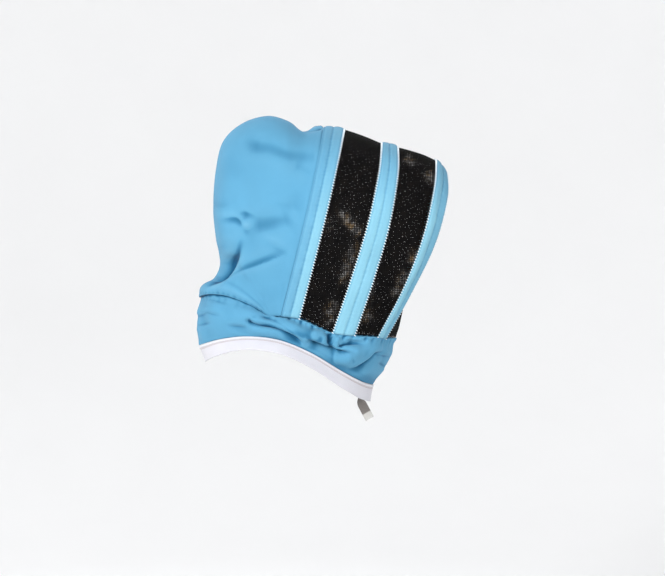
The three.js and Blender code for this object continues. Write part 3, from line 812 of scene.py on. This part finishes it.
def netTree():
    tree, given = treeWith("woven net", [*netWeave, "Width", "Length"])
    pitch = given["Pitch"]

    def position():
        return addNode(tree, "GeometryNodeInputPosition").outputs[0]

    def threads(acrossExtent, alongExtent, sideways):
        counts, spans = [], []
        for extent in [acrossExtent, alongExtent]:
            counts.append(calc(tree, "ADD", calc(tree, "CEIL", calc(tree, "DIVIDE", extent, pitch)), 1.0))
            spans.append(calc(tree, "MULTIPLY", calc(tree, "SUBTRACT", counts[-1], 1.0), pitch))
        starts = [calc(tree, "MULTIPLY", span, 0.5) for span in spans]
        size = vectorOf(tree, given["Thread"], spans[1], given["Thickness"])
        box = addNode(tree, "GeometryNodeMeshCube", {"Size": size, "Vertices X": 2, "Vertices Z": 2})
        tree.links.new(counts[1], box.inputs["Vertices Y"])
        first = vectorOf(tree, calc(tree, "MULTIPLY", starts[0], -1.0))
        inputs = {"Start Location": first, "Offset": vectorOf(tree, pitch)}
        line = addNode(tree, "GeometryNodeMeshLine", inputs, mode="OFFSET")
        tree.links.new(counts[0], line.inputs["Count"])
        inputs = {"Points": line.outputs[0], "Instance": box.outputs["Mesh"]}
        row = addNode(tree, "GeometryNodeInstanceOnPoints", inputs).outputs[0]
        whole = addNode(tree, "GeometryNodeRealizeInstances", {0: row}).outputs[0]
        at = vectorParts(tree, position())
        numbers = []  # which strand a point is on, and which knot of it
        for along, start in zip(at[:2], starts):
            steps = calc(tree, "DIVIDE", calc(tree, "ADD", along, start), pitch)
            numbers.append(calc(tree, "ROUND", steps))
        parity = calc(tree, "COSINE", calc(tree, "MULTIPLY", calc(tree, "ADD", *numbers), math.pi))
        over = calc(tree, "MULTIPLY", parity, given["Weave"])
        height = calc(tree, "ADD", at[2], calc(tree, "MULTIPLY", over, -1.0 if sideways else 1.0))
        ways = [calc(tree, "MULTIPLY", number, pitch) for number in numbers]
        knot = [calc(tree, "SUBTRACT", way, start) for way, start in zip(ways, starts)]
        place = [at[0], at[1]]
        if sideways:
            knot, place = knot[::-1], place[::-1]
        inputs = {"Geometry": whole, "Name": "knot", "Value": vectorOf(tree, *knot)}
        kind = "GeometryNodeStoreNamedAttribute"
        marked = addNode(tree, kind, inputs, data_type="FLOAT_VECTOR", domain="POINT").outputs[0]
        inputs = {"Geometry": marked, "Position": vectorOf(tree, *place, height)}
        laid = addNode(tree, "GeometryNodeSetPosition", inputs).outputs[0]
        return addNode(tree, "GeometryNodeFlipFaces", {0: laid}).outputs[0] if sideways else laid

    both = addNode(tree, "GeometryNodeJoinGeometry")
    tree.links.new(threads(given["Width"], given["Length"], False), both.inputs[0])
    tree.links.new(threads(given["Length"], given["Width"], True), both.inputs[0])

    def flatPlace(place):  # where a point of the flat weave lies on the cloth's own map
        inputs = {"Vector": place, "Scale": 75.0, "Detail": 2.0, "Roughness": 0.6}
        chance = addNode(tree, "ShaderNodeTexNoise", inputs).outputs["Color"]
        centred = vectorCalc(tree, "SUBTRACT", chance, (0.5, 0.5, 0.5))
        drift = vectorCalc(tree, "SCALE", centred, given["Wander"])
        inputs = {"Vector": vectorCalc(tree, "ADD", place, drift), "Angle": given["Turn"]}
        spun = addNode(tree, "ShaderNodeVectorRotate", inputs, rotation_type="Z_AXIS").outputs[0]
        return vectorOf(tree, *vectorParts(tree, spun)[:2])

    def sampled(value, place):
        inputs = {"Mesh": given["Geometry"], "Sample UV": place, "Value": value}
        node = addNode(tree, "GeometryNodeSampleUVSurface", data_type="FLOAT_VECTOR")
        inputs["UV Map" if "UV Map" in node.inputs else "Source UV Map"] = storedVector(tree, "cloth")
        for key, socket in inputs.items():
            tree.links.new(socket, node.inputs[key])
        return node.outputs

    at, atKnot = flatPlace(position()), flatPlace(storedVector(tree, "knot"))
    spot, knotSpot = sampled(position(), at), sampled(position(), atKnot)
    inputs = {"Switch": spot["Is Valid"], "False": knotSpot["Value"], "True": spot["Value"]}
    landed = addNode(tree, "GeometryNodeSwitch", input_type="VECTOR")
    for key, socket in inputs.items():
        tree.links.new(socket, landed.inputs[key])
    outward = sampled(addNode(tree, "GeometryNodeInputNormal").outputs[0], atKnot)["Value"]
    raised = vectorCalc(tree, "SCALE", outward, vectorParts(tree, position())[2])
    wrapped = vectorCalc(tree, "ADD", landed.outputs[0], raised)
    missed = addNode(tree, "FunctionNodeBooleanMath", {0: knotSpot["Is Valid"]}, operation="NOT").outputs[0]
    kept = addNode(tree, "GeometryNodeCaptureAttribute", {"Geometry": both.outputs[0]})
    kept.capture_items.new("BOOLEAN", "missed")
    tree.links.new(missed, kept.inputs["missed"])
    inputs = {"Geometry": kept.outputs["Geometry"], "Position": wrapped}
    bent = addNode(tree, "GeometryNodeSetPosition", inputs).outputs[0]
    inputs = {"Geometry": bent, "Selection": kept.outputs["missed"]}
    cropped = addNode(tree, "GeometryNodeDeleteGeometry", inputs, domain="POINT").outputs[0]
    return endTree(tree, given, cropped)


def applyTree(piece, tree, values):  # runs a node tree on a piece and keeps the result as a plain mesh
    modifier = piece.modifiers.new(tree.name, "NODES")
    modifier.node_group = tree
    sockets = {s.name: s.identifier for s in tree.interface.items_tree if s.in_out == "INPUT"}
    for name, value in values.items():
        modifier[sockets[name]] = value
    piece.data.update()
    graph = bpy.context.evaluated_depsgraph_get()
    made = bpy.data.meshes.new_from_object(piece.evaluated_get(graph))
    old, piece.data = piece.data, made
    piece.modifiers.clear()
    bpy.data.meshes.remove(old)
    made.name = piece.name
    return piece


wovenNet = netTree()


netGlints = [  # painted glints: where the net catches the light, drawn as the folds are
    fold([79, 245.8, 90.9, 227.1, 107.8, 210.2, 114.6, 203.4], width=6, share=1),
    fold([107.8, 200, 97.7, 172.8, 89.1, 145.7, 82.4, 125.3], width=6.5, share=0.55),
    fold([72.2, 108.3, 67.1, 87.9, 63.8, 64.2], width=6.5, share=0.75),
    fold([56.9, 234, 67.1, 207], width=8, share=0.2),
    fold([178, 323, 182.6, 318.8, 193, 306], width=6, share=0.7),
    fold([212, 301, 214.8, 295.1, 221.6, 278.1], width=5.5, share=0.9),
    fold([199, 180, 196.1, 176.3, 182.6, 159.3], width=7, share=0.8),
    fold([185.9, 155.9, 172.4, 132.2, 160.5, 105], width=6.5, share=0.5),
    fold([130, 150, 118.1, 95, 124.8, 70], width=8, share=0.45),
    fold([135, 195, 133.5, 151.5], width=6, share=0.3),
]


def turnedExtent(flat):  # how wide and long a weave turned by this angle must be to cover the cloth
    c, s = math.cos(netWeave["Turn"]), math.sin(netWeave["Turn"])
    across, along = np.abs(flat @ [c, s]).max(), np.abs(flat @ [-s, c]).max()
    return 2 * np.array([across, along])


def capStrands(piece):  # closes the cut end of every strand
    mesh = bmesh.new()
    mesh.from_mesh(piece.data)
    bmesh.ops.delete(mesh, geom=[edge for edge in mesh.edges if edge.is_wire], context="EDGES")
    bmesh.ops.delete(mesh, geom=[point for point in mesh.verts if not point.link_faces], context="VERTS")
    bmesh.ops.holes_fill(mesh, edges=[edge for edge in mesh.edges if edge.is_boundary], sides=0)
    mesh.to_mesh(piece.data)
    mesh.free()


def buildNet(name, grid, uv, glints=netGlints):
    rows, columns = grid.shape[:2]
    normal = facingOut(grid)
    edges = np.sin(np.linspace(0, 1, columns) * math.pi)[None, :]
    ends = smoothstep(np.sin(np.linspace(0, 1, rows) * math.pi), 0, 0.15)[:, None]
    lift = edges * ends * (foldLift(netFolds, grid) + 0.0009 * softNoise(grid, 0.03, 51)) - hood["netDepth"]
    middle = grid + normal * lift[..., None]
    patch = middle[rows // 2 : rows // 2 + 2, columns // 2 : columns // 2 + 2]
    upward = np.cross(patch[1, 0] - patch[0, 0], patch[0, 1] - patch[0, 0])
    turned = upward @ normal[rows // 2, columns // 2] < 0
    piece = addPiece(name + "_threads", middle, gridFaces(rows, columns, flip=turned), uv.reshape(-1, 2))
    skins[name] = (middle, normal)
    width, length = turnedExtent(uv.reshape(-1, 2)) + 4 * netWeave["Pitch"]
    applyTree(piece, wovenNet, dict(netWeave, Width=float(width), Length=float(length), Material=netThread))
    capStrands(piece)
    at = np.zeros(len(piece.data.vertices) * 3)
    piece.data.vertices.foreach_get("co", at)
    # painted highlight on the threads: a little everywhere, more along the glint paths
    glint = foldLift(glints, at.reshape(-1, 3)) + 0.02
    piece.data.attributes.new("glint", "FLOAT", "POINT").data.foreach_set("value", np.clip(glint, 0, 1))
    return finish(piece, node=name)


def netStripGrid(firstEdge, rows=260, columns=22):
    along = np.linspace(0, 1, rows)
    start = firstEdge - lapShare(firstEdge, firstEdge - 1, along)
    end = firstEdge + 1 + lapShare(firstEdge + 1, firstEdge + 2, along)
    share = np.linspace(0, 1, columns)[None, :]
    return canopyRagged(start[:, None] * (1 - share) + end[:, None] * share, along)


def stripUv(grid):  # across measured from the middle line, along measured on it
    run = runAlong(grid[:, grid.shape[1] // 2])
    along = np.repeat((run - run[len(run) // 2])[:, None], grid.shape[1], 1)
    return np.stack([acrossFromMiddle(grid), along], -1)


for netName, netEdge in [("net_rear", 1), ("net_middle", 3)]:
    strip = netStripGrid(netEdge)
    buildNet(netName, strip, stripUv(strip))

faceDish = table(
    "rise forward",
    (0, 0.075),
    (0.28, -0.012),
    (0.56, -0.045),
    (0.82, -0.03),
    (1, 0),
)


def faceEdge(along):
    along = np.atleast_1d(along)
    edge = canopy([lastEdge], along)[:, 0]
    beside = canopy([lastEdge], np.where(along < 0.5, along + 0.01, along - 0.01))[:, 0] - edge
    inBand = canopy([lastEdge - 0.05], along)[:, 0] - edge
    outward = unit(np.cross(beside, inBand))
    head = np.array([0, 0, hood["crownHeight"] * 0.45])
    outward *= np.sign(np.sum(outward * (edge - head), axis=-1, keepdims=True))
    return edge - outward * 0.0015


def faceGrid(rises, acrosses):  # grid (rise, across, 3)
    along = np.asarray(rises) / 2
    right, left = faceEdge(along), faceEdge(1 - along)
    front = archesAt(edgeControl, along)[lastEdge]
    foot, crown = edgeControl[lastEdge, 0, 2], edgeControl[lastEdge, 5, 2]
    rise = (front[:, 2] - foot) / (crown - foot)
    dish = readTable(faceDish, "rise", "forward", rise) * hood["faceReach"]
    share = np.asarray(acrosses)[None, :, None]
    grid = right[:, None] * (1 - share) + left[:, None] * share
    grid[..., 1] -= dish[:, None] * (1 - (2 * np.asarray(acrosses)[None, :] - 1) ** 2)
    return grid


def faceUv(grid):  # drawn flat: sideways as it is, upwards along the middle line
    run = runAlong(grid[:, grid.shape[1] // 2])
    return np.stack([grid[..., 0], np.repeat((run - run[-1] / 2)[:, None], grid.shape[1], 1)], -1)


faceRises = np.linspace(0, 0.995, 160)
faceCloth = faceGrid(faceRises, np.linspace(0, 1, 70))
buildNet("net_face", faceCloth, faceUv(faceCloth), glints=[])
print("nets ready")

# The neck skirt

neckSkirt = {
    "steps": 450,
    "rows": 72,
    "wall": 0.0011,
    "gather": 0.0011,
    "slack": [{"size": 0.03, "height": 0.0010, "seed": 21}, {"size": 0.014, "height": 0.0002, "seed": 22}],
    "folds": [
        fold([-57, 79.7, -54.5, 73.4, -42.3, 68.9, -23.4, 68.5, -9.8, 63.5, 3.9, 53.4, 18.6, 44.6, 29.1,
             37.7], width=5.4, depth=-8.8, crisp=0.5, left=0.6, fadeIn=0.15),
        fold([-42.3, 81.1, -23.4, 76.5, -4.5, 66, 20.7, 46.1], width=4.6, depth=-4.8, crisp=0.3,
             left=0.5),
        fold([-50.7, 78.6, -31.8, 74.8, -15, 71.3, 1.8, 59.7, 18.6, 48.2], width=4.2, depth=3,
             left=0.5),
        fold([-88.5, 93.3, -57, 87, -31.8, 82.8, -10.8, 77.6, 10.2, 67.1, 33.3, 51.3], width=8,
             depth=3.4, left=0.6),
        fold([-94.8, 68.1, -71.7, 65, -48.6, 62.6], width=6.6, depth=-2.8, crisp=0.5, left=0.4,
             fadeIn=0.5, fadeOut=0.5),
        fold([59.6, 65, 65.9, 49.2, 69.6, 35.6, 72.2, 28.2], width=5.6, depth=-9.8, crisp=0.2,
             left=0.9),
        fold([35.4, 48.2, 48, 55.5, 57.5, 54.5, 63.8, 42.9], width=7, depth=4.6, left=0.9),
        fold([27, 46.1, 41.7, 39.1, 54.3, 34.1, 71.1, 27.8, 85.8, 26.1, 104.7, 25.7], width=7.2,
             depth=-14, crisp=0.4, left=0.8, fadeIn=0.25, fadeOut=0.3),
        fold([69, 60, 74.5, 50, 78.5, 42], width=5, depth=4.2, left=0.9),
        fold([77.5, 32, 83.7, 38.7, 92.1, 42.5, 108.9, 41.2, 121.5, 36.2], width=5.2, depth=-7.8,
             crisp=0.4, left=0.9, fadeOut=0.5),
        fold([83, 48, 98, 53, 115, 52], width=6, depth=2.8, left=0.9),
        fold([92, 34, 104, 29, 122, 24], width=8.5, depth=4.8, left=0.9, fadeIn=0.5, fadeOut=0.5),
        fold([90, 1, 111, 3.4, 123.6, 11, 132, 18.1, 140.4, 26.1, 150.9, 29.3], width=6.2, depth=-8.6,
             crisp=0.4, left=0.9, fadeIn=0.3, fadeOut=0.3),
        fold([149.9, 26.1, 148.8, 15.6, 142.5, 3], width=7.5, depth=-4),
        fold([69, 19.8, 85.8, 17.7, 100.5, 19.8], width=8.5, depth=3),
        fold([-131, 88, -127, 77.2, -124, 64], width=9.5, depth=-3.6),
        fold([-105, 105, -110, 85], width=10.5, depth=2.2),
    ],
    "paintedShades": [  # painted shade, in the gathers under the nets
        fold([-54, 78, -36, 71.5, -16.5, 62.5, 6, 48, 25.5, 37], width=4.2, share=0.45, left=0.6),
        fold([-9, 64.5, 21, 54, 48, 45, 66, 48], width=5.2, share=0.6, left=0.6),
    ],
}
skirtSwell = table(
    "level swell",
    (0, 0),
    (0.125, 0.008),
    (0.3, 0.062),
    (0.55, 0.085),
    (0.8, 0.05),
    (1, 0),
)
skirtRound = table(
    "way tuck swell",
    (0, 0, 0.55),
    (0.3, 0, 1),
    (0.45, 0, 1.1),
    (0.5, 0.012, 1.08),
    (0.54, 0.024, 1.03),
    (0.62, 0.035, 0.9),
    (0.85, 0.043, 0.6),
    (1, 0.037, 0.5),
)
hemStations = table(
    "turn up flare",
    (0, -0.053, -8),
    (31, -0.034, 0),
    (51, 0.012, 8),
    (74, 0.087, 26),
    (94, 0.135, 44),
    (115, 0.148, 46),
    (137, 0.136, 24),
    (160, 0.114, -8),
    (180, 0.106, -26),
)


def evenly(points, count):  # points spread evenly round a closed line
    closed = np.concatenate([points, points[:1]])
    run = runAlong(closed)
    at = np.linspace(0, run[-1], count, endpoint=False)
    return np.stack([np.interp(at, run, closed[:, k]) for k in range(3)], 1), run[-1]


def neckSeam(count):  # once round from the throat by the wearer's right
    face = faceGrid([0], np.linspace(0, 1, 13))[0]
    bandFeet = canopy(lastEdge * (1 - np.linspace(0, 1, 21)[1:]), [0])[0]
    lip = backCloth(np.array([1.0]), np.linspace(0, 1, 41)[1:])[0]
    mirrored = (bandFeet[:-1] * [-1, 1, 1])[::-1]
    once = np.concatenate([face[6::-1], bandFeet, lip, mirrored, face[12:13], face[11:6:-1]])
    fine = closedSpline(once, np.linspace(0, 1, 4000, endpoint=False))
    return evenly(fine, count)[0]


def hemLine(count):
    points = []
    for s in hemStations:
        turn = math.radians(s["turn"])
        side, back = -math.sin(turn) * hood["hemHalf"], -math.cos(turn) * hood["hemReach"]
        points.append((side, back, s["up"] * hood["crownHeight"]))
    right = np.array(points)
    loop = np.concatenate([right, (right[1:-1] * [-1, 1, 1])[::-1]])
    fine = closedSpline(loop, np.linspace(0, 1, 4000, endpoint=False))
    return evenly(fine, count)


def outOf(line):  # level directions out of a closed line
    tangent = np.roll(line, -1, 0) - np.roll(line, 1, 0)
    return unit(np.stack([-tangent[:, 1], tangent[:, 0], np.zeros(len(line))], 1))


def wayToNape(rounds):
    return 1 - np.abs(1 - 2 * rounds)


def skirtGrid(steps, rows):
    rounds = np.arange(steps) / steps
    seam, (hem, _) = neckSeam(steps), hemLine(steps)
    out, way = outOf(hem), wayToNape(rounds)
    tuck = readTable(skirtRound, "way", "tuck", way) * hood["napeReach"]
    top = seam - out * tuck[:, None] - [0, 0, 2 * hood["seamGap"]]
    levels = np.linspace(0, 1, rows)
    fullness = readTable(skirtRound, "way", "swell", way)[:, None]
    swell = readTable(skirtSwell, "level", "swell", levels)[None, :] * fullness
    line = top[:, None] * (1 - levels[None, :, None]) + hem[:, None] * levels[None, :, None]
    return line + out[:, None] * (swell * hood["napeReach"])[..., None], levels


def buildSkirt():
    flat, levels = skirtGrid(neckSkirt["steps"], neckSkirt["rows"])
    hold = (smoothstep(levels, 0.0, 0.14) * smoothstep(1 - levels, 0.0, 0.12))[None, :]
    lift = hold * foldLift(neckSkirt["folds"], flat)
    for slack in neckSkirt["slack"]:
        lift += hold * slack["height"] * softNoise(flat, slack["size"], slack["seed"])
    run = runAlong(flat[:, 0])[:, None]
    ahead = seenFromSide(flat[:, 0])[:, :1]
    loose = 0.2 + 0.8 * smoothstep(ahead, -0.045, 0.0) * (1 - 0.6 * smoothstep(ahead, 0.09, 0.13))
    nearSeam = (smoothstep(levels, 0.0, 0.04) * bell(levels, 0, 0.15))[None, :] * loose
    lift += neckSkirt["gather"] * nearSeam * gathers(run, 0.0101, 29, 0.0167, 1)
    grid = flat + facingOut(flat, True) * lift[..., None]
    half = neckSkirt["wall"] / 2
    way = wayToNape(np.arange(len(flat)) / len(flat))[:, None]
    # painted shade in the folds and painted highlight on their ridges, plus the painted shade paths
    crease = hollows(lift, 0.0015, 12, True) + foldLift(neckSkirt["paintedShades"], flat)
    # painted shade towards the hem, on the front half
    crease += 0.4 * smoothstep(levels, 0.72, 0.98) * (1 - smoothstep(way, 0.45, 0.65))
    # painted shade in the gap under the lip at the back, with a ragged lower edge
    ragged = levels + 0.012 * softNoise(flat, 0.008, 23)
    shadeUnderLip = smoothstep(way, 0.53, 0.58) * (1 - smoothstep(ragged, 0.02, 0.085))
    crease = np.maximum(crease, shadeUnderLip)
    piece = clothMesh("neck_skirt", grid, half, -half, metricUv(grid), around=True, crease=crease)
    return finish(piece, cotton, "neck_skirt")


skirt = buildSkirt()
print("neck skirt ready")

# The hem tape and its loose end

tape = {"width": 0.025, "wall": 0.0014, "rim": 0.0011, "throatGap": 0.006, "steps": 420, "columns": 20}


def tapeLine(rounds):  # upper edge of the tape and the direction down across it
    steps = 1200
    hem, length = hemLine(steps)
    out = outOf(hem)
    at = np.asarray(rounds) * steps
    index = np.floor(at).astype(int)
    mix = (at - index)[:, None]
    top = hem[index % steps] * (1 - mix) + hem[(index + 1) % steps] * mix
    flare = np.radians(readTable(hemStations, "turn", "flare", wayToNape(np.asarray(rounds)) * 180))
    outward = unit(out[index % steps] * (1 - mix) + out[(index + 1) % steps] * mix)
    down = outward * np.sin(flare)[:, None] - np.cos(flare)[:, None] * np.array([0, 0, 1])
    return top, down, outward, length


def tapeGrid(rounds, across):  # grid (rounds, across, 3)
    top, down, _, _ = tapeLine(rounds)
    drop = 0.00075 + hood["seamGap"] + np.asarray(across) * tape["width"]
    return top[:, None] + down[:, None] * drop[None, :, None]


hemLength = hemLine(1200)[1]


def buildTape():
    end = tape["throatGap"] / 2 / hemLength
    across = np.linspace(0, 1, tape["columns"])
    grid = tapeGrid(np.linspace(end, 1 - end, tape["steps"]), across)
    ripple = 0.0007 * softNoise(grid, 0.022, 31) + 0.0003 * softNoise(grid, 0.009, 32)
    grid = grid + facingOut(grid) * (ripple * smoothstep(across, 0.15, 1)[None, :])[..., None]
    rim = tape["rim"] * bell(across, 0.06, 0.075, 4)
    shade = 0.35 * bell(across, 0.19, 0.035) - 0.3 * (across < 0.13)  # painted shade between the rim and the stitches, painted highlight on the rim
    crease = np.broadcast_to(shade, grid.shape[:2])
    half = tape["wall"] / 2
    piece = clothMesh("hem_tape", grid, half + rim[None, :], -half, metricUv(grid), crease=crease)
    return finish(piece, hemTape, "hem_tape")


hemPiece = buildTape()

tail = {
    "width": 0.014,
    "length": 0.057,
    "lean": 0.52,
    "round": 0.064,
    "across": 0.2,
    "turn": (0.34, 0.62),  # the shares of its length between which it turns to face sideways
    "wall": 0.0012,
    "rows": 70,
    "columns": 14,
}


def buildTail():
    top, down, outward, _ = tapeLine([1 - tail["round"]])
    ahead, _, _, _ = tapeLine([1 - tail["round"] + 0.001])
    tangent, outward = unit(ahead - top)[0], outward[0]
    middle = (top + down * (0.00075 + hood["seamGap"] + tail["across"] * tape["width"]))[0]
    middle = middle - outward * (tape["wall"] + 4 * hood["seamGap"])
    sides = np.linspace(-0.5, 0.5, tail["columns"])[:, None] * tail["width"]
    rows = []
    for share in np.linspace(0, 1, tail["rows"]):
        turned = smoothstep(share, *tail["turn"])
        lean = tail["lean"] * turned
        onward = np.array([0, -math.sin(lean), -math.cos(lean)])
        edge = unit(tangent * (1 - turned) + np.array([0, -math.cos(lean), math.sin(lean)]) * turned)
        rows.append(middle + edge * sides)
        inward = outward * 9 * hood["seamGap"] / tail["rows"]
        middle = middle + onward * tail["length"] / (tail["rows"] - 1) - inward
    grid = np.array(rows)
    folded = smoothstep(np.linspace(0, 1, tail["rows"]), 0.8, 0.83)[:, None]  # the end is turned up
    outer = tail["wall"] / 2 + 0.0009 * folded * np.ones((1, tail["columns"]))
    # painted highlight: the turned-up end takes the lighter ridge colour, less in the shade
    crease = np.broadcast_to(-folded, grid.shape[:2])
    piece = clothMesh("tape_tail", grid, outer, -tail["wall"] / 2, metricUv(grid), crease=crease)
    return finish(piece, tailTape, "tape_tail")


tailPiece = buildTail()
print("tape ready")

# Stitching

stitches = {
    "raised": 0.0001,
    "channel": {"Pitch": 0.0031, "Length": 0.0024, "Width": 0.00045, "Slant": 0.0},
    "border": {"Pitch": 0.0041, "Length": 0.0040, "Width": 0.0015, "Slant": 1.25},
    "hem": {"Pitch": 0.0032, "Length": 0.0024, "Width": 0.0005, "Slant": 0.0},
}


def stitchTree():
    tree, given = treeWith("row of stitches", ["Pitch", "Length", "Width", "Slant"])

    def made(kind, inputs, **settings):
        return addNode(tree, kind, inputs, **settings).outputs[0]

    path = made("GeometryNodeMeshToCurve", {0: given["Geometry"]})
    even = made("GeometryNodeResampleCurve", {"Curve": path, "Length": given["Pitch"]}, mode="LENGTH")
    inputs = {"Vector": storedVector(tree, "outward")}
    facing = made("FunctionNodeAlignRotationToVector", inputs, axis="Z")
    inputs = {"Rotation": facing, "Vector": made("GeometryNodeInputTangent", {})}
    along = made("FunctionNodeAlignRotationToVector", inputs, axis="X", pivot_axis="Z")
    inputs = {"Rotation": along, "Rotate By": vectorOf(tree, 0.0, 0.0, given["Slant"])}
    slanted = made("FunctionNodeRotateRotation", inputs, rotation_space="LOCAL")
    long, thin = [calc(tree, "MULTIPLY", given[key], 0.5) for key in ("Length", "Width")]
    ball = made("GeometryNodeMeshUVSphere", {"Segments": 5, "Rings": 3, "Radius": 1.0})
    stitch = made("GeometryNodeTransform", {"Geometry": ball, "Rotation": (0, math.pi / 2, 0)})
    size = vectorOf(tree, long, thin, thin)
    inputs = {"Points": even, "Instance": stitch, "Rotation": slanted, "Scale": size}
    return endTree(tree, given, made("GeometryNodeInstanceOnPoints", inputs))


stitchRow = stitchTree()


def linesOver(name, columns, rows=slice(None)):  # lines just above a piece's outer skin, with its normals
    skin, normal = skins[name]
    lines = []
    for column in columns:
        place = np.clip(column, 0, 1) * (skin.shape[1] - 1)
        low = min(int(place), skin.shape[1] - 2)
        mix = place - low
        points = skin[rows, low] * (1 - mix) + skin[rows, low + 1] * mix
        outward = unit(normal[rows, low] * (1 - mix) + normal[rows, low + 1] * mix)
        lines.append((points + outward * stitches["raised"], outward))
    return lines


def sew(name, lines, kind, material):  # one piece of stitches along some lines
    points = np.concatenate([line for line, _ in lines])
    mesh = bpy.data.meshes.new(name)
    edges, start = [], 0
    for line, _ in lines:
        edges += [(start + k, start + k + 1) for k in range(len(line) - 1)]
        start += len(line)
    mesh.from_pydata(points.tolist(), edges, [])
    layer = mesh.attributes.new("outward", "FLOAT_VECTOR", "POINT")
    layer.data.foreach_set("vector", np.concatenate([outward for _, outward in lines]).ravel())
    piece = bpy.data.objects.new(name, mesh)
    bpy.context.scene.collection.objects.link(piece)
    applyTree(piece, stitchRow, dict(stitches[kind], Material=material))
    piece.data.shade_smooth()
    return finish(piece)


hooped = {"hoop_band_rear": [1], "hoop_band_middle": [0, 1], "hoop_band_front": [0, 1]}
channels = [linesOver(name, hoopBands["stitchLines"]) for name in hooped]
sew("channel_stitches", sum(channels, []), "channel", blueThread)
borders = [linesOver(name, edges) for name, edges in hooped.items()]
sew("border_stitches", sum(borders, []), "border", whiteThread)
sew("hem_stitches", linesOver("hem_tape", [0.15, 0.235]), "hem", brownThread)
tailEnd = linesOver("tape_tail", [0.12, 0.88], slice(58, 70))
sew("tail_stitches", tailEnd, "hem", brownThread)
seamLines = linesOver("hood_back_right", [0.985]) + linesOver("hood_back_left", [0.015])
sew("middle_seam_stitches", seamLines, "channel", blueThread)
print("stitching ready")
# Camera, floor and light


def buildCamera():
    a = math.radians(cameraSettings["azimuth"])
    distance = cameraSettings["frameWidth"] * cameraSettings["lens"] / sensorWidth
    centre = Vector(cameraSettings["centre"])
    back = Vector((math.sin(a), -math.cos(a), 0))
    data = bpy.data.cameras.new("camera")
    data.lens, data.sensor_width = cameraSettings["lens"], sensorWidth
    data.clip_start, data.clip_end = 0.05, 60
    camera = bpy.data.objects.new("camera", data)
    camera.location = centre + back * distance
    camera.rotation_mode = "QUATERNION"
    camera.rotation_quaternion = (-back).to_track_quat("-Z", "Y")
    bpy.context.scene.collection.objects.link(camera)
    bpy.context.scene.camera = camera


studio = {"radius": 2.2, "below": 0.55, "wall": 7, "turns": 96, "pale": (0.89, 0.915), "roughness": 0.95}


def buildStage():  # a round pale floor that curves up into a wall on every side
    points, faces = [], []
    radius, turns = studio["radius"], studio["turns"]
    profile = [(radius, 0)]
    for t in np.linspace(0.1, math.pi / 2, 14):
        profile.append((radius + radius * math.sin(t), radius * (1 - math.cos(t))))
    profile.append((2 * radius, studio["wall"]))
    for reach, height in profile:
        for k in range(turns):
            t = 2 * math.pi * k / turns
            points.append((reach * math.cos(t), reach * math.sin(t), height - studio["below"]))
    for r in range(len(profile) - 1):
        for k in range(turns):
            a, b = r * turns + k, r * turns + (k + 1) % turns
            faces.append((a, b, b + turns, a + turns))
    faces.append(tuple(range(turns))[::-1])
    floor = addPiece("studio_floor", points, faces)
    floor.data.flip_normals()
    material, tree, shader = newMaterial("pale floor")
    inputs = {"Vector": objectPlace(tree), "Scale": 3.0, "Detail": 3.0}
    grain = addNode(tree, "ShaderNodeTexNoise", inputs).outputs["Fac"]
    greys = [(share, (grey,) * 3) for share, grey in enumerate(studio["pale"])]
    tree.links.new(ramp(tree, grain, greys), shader.inputs["Base Color"])
    shader.inputs["Roughness"].default_value = studio["roughness"]
    floor.data.materials.append(material)


def areaLight(name, place, target, size, power, colour=(1, 1, 1)):
    data = bpy.data.lights.new(name, "AREA")
    data.shape, data.size = "DISK", size
    data.energy, data.color = power, colour
    light = bpy.data.objects.new(name, data)
    light.location = place
    light.rotation_mode = "QUATERNION"
    light.rotation_quaternion = (Vector(target) - Vector(place)).to_track_quat("-Z", "Y")
    bpy.context.scene.collection.objects.link(light)


buildCamera()
buildStage()
target = (0, -0.05, 0.17)
areaLight("key", (-2.3, 1.3, 1.1), target, 0.8, 80)
areaLight("fill", (-1.5, -2.3, 0.5), target, 1.8, 24)
areaLight("rim", (1.8, 0.8, 1.9), target, 1.4, 12)
world = bpy.data.worlds.new("studio")
world.use_nodes = True
world.node_tree.nodes["Background"].inputs[0].default_value = (0.97, 0.98, 1, 1)
world.node_tree.nodes["Background"].inputs[1].default_value = 0.82
bpy.context.scene.world = world
bpy.context.scene.view_settings.view_transform = "Standard"
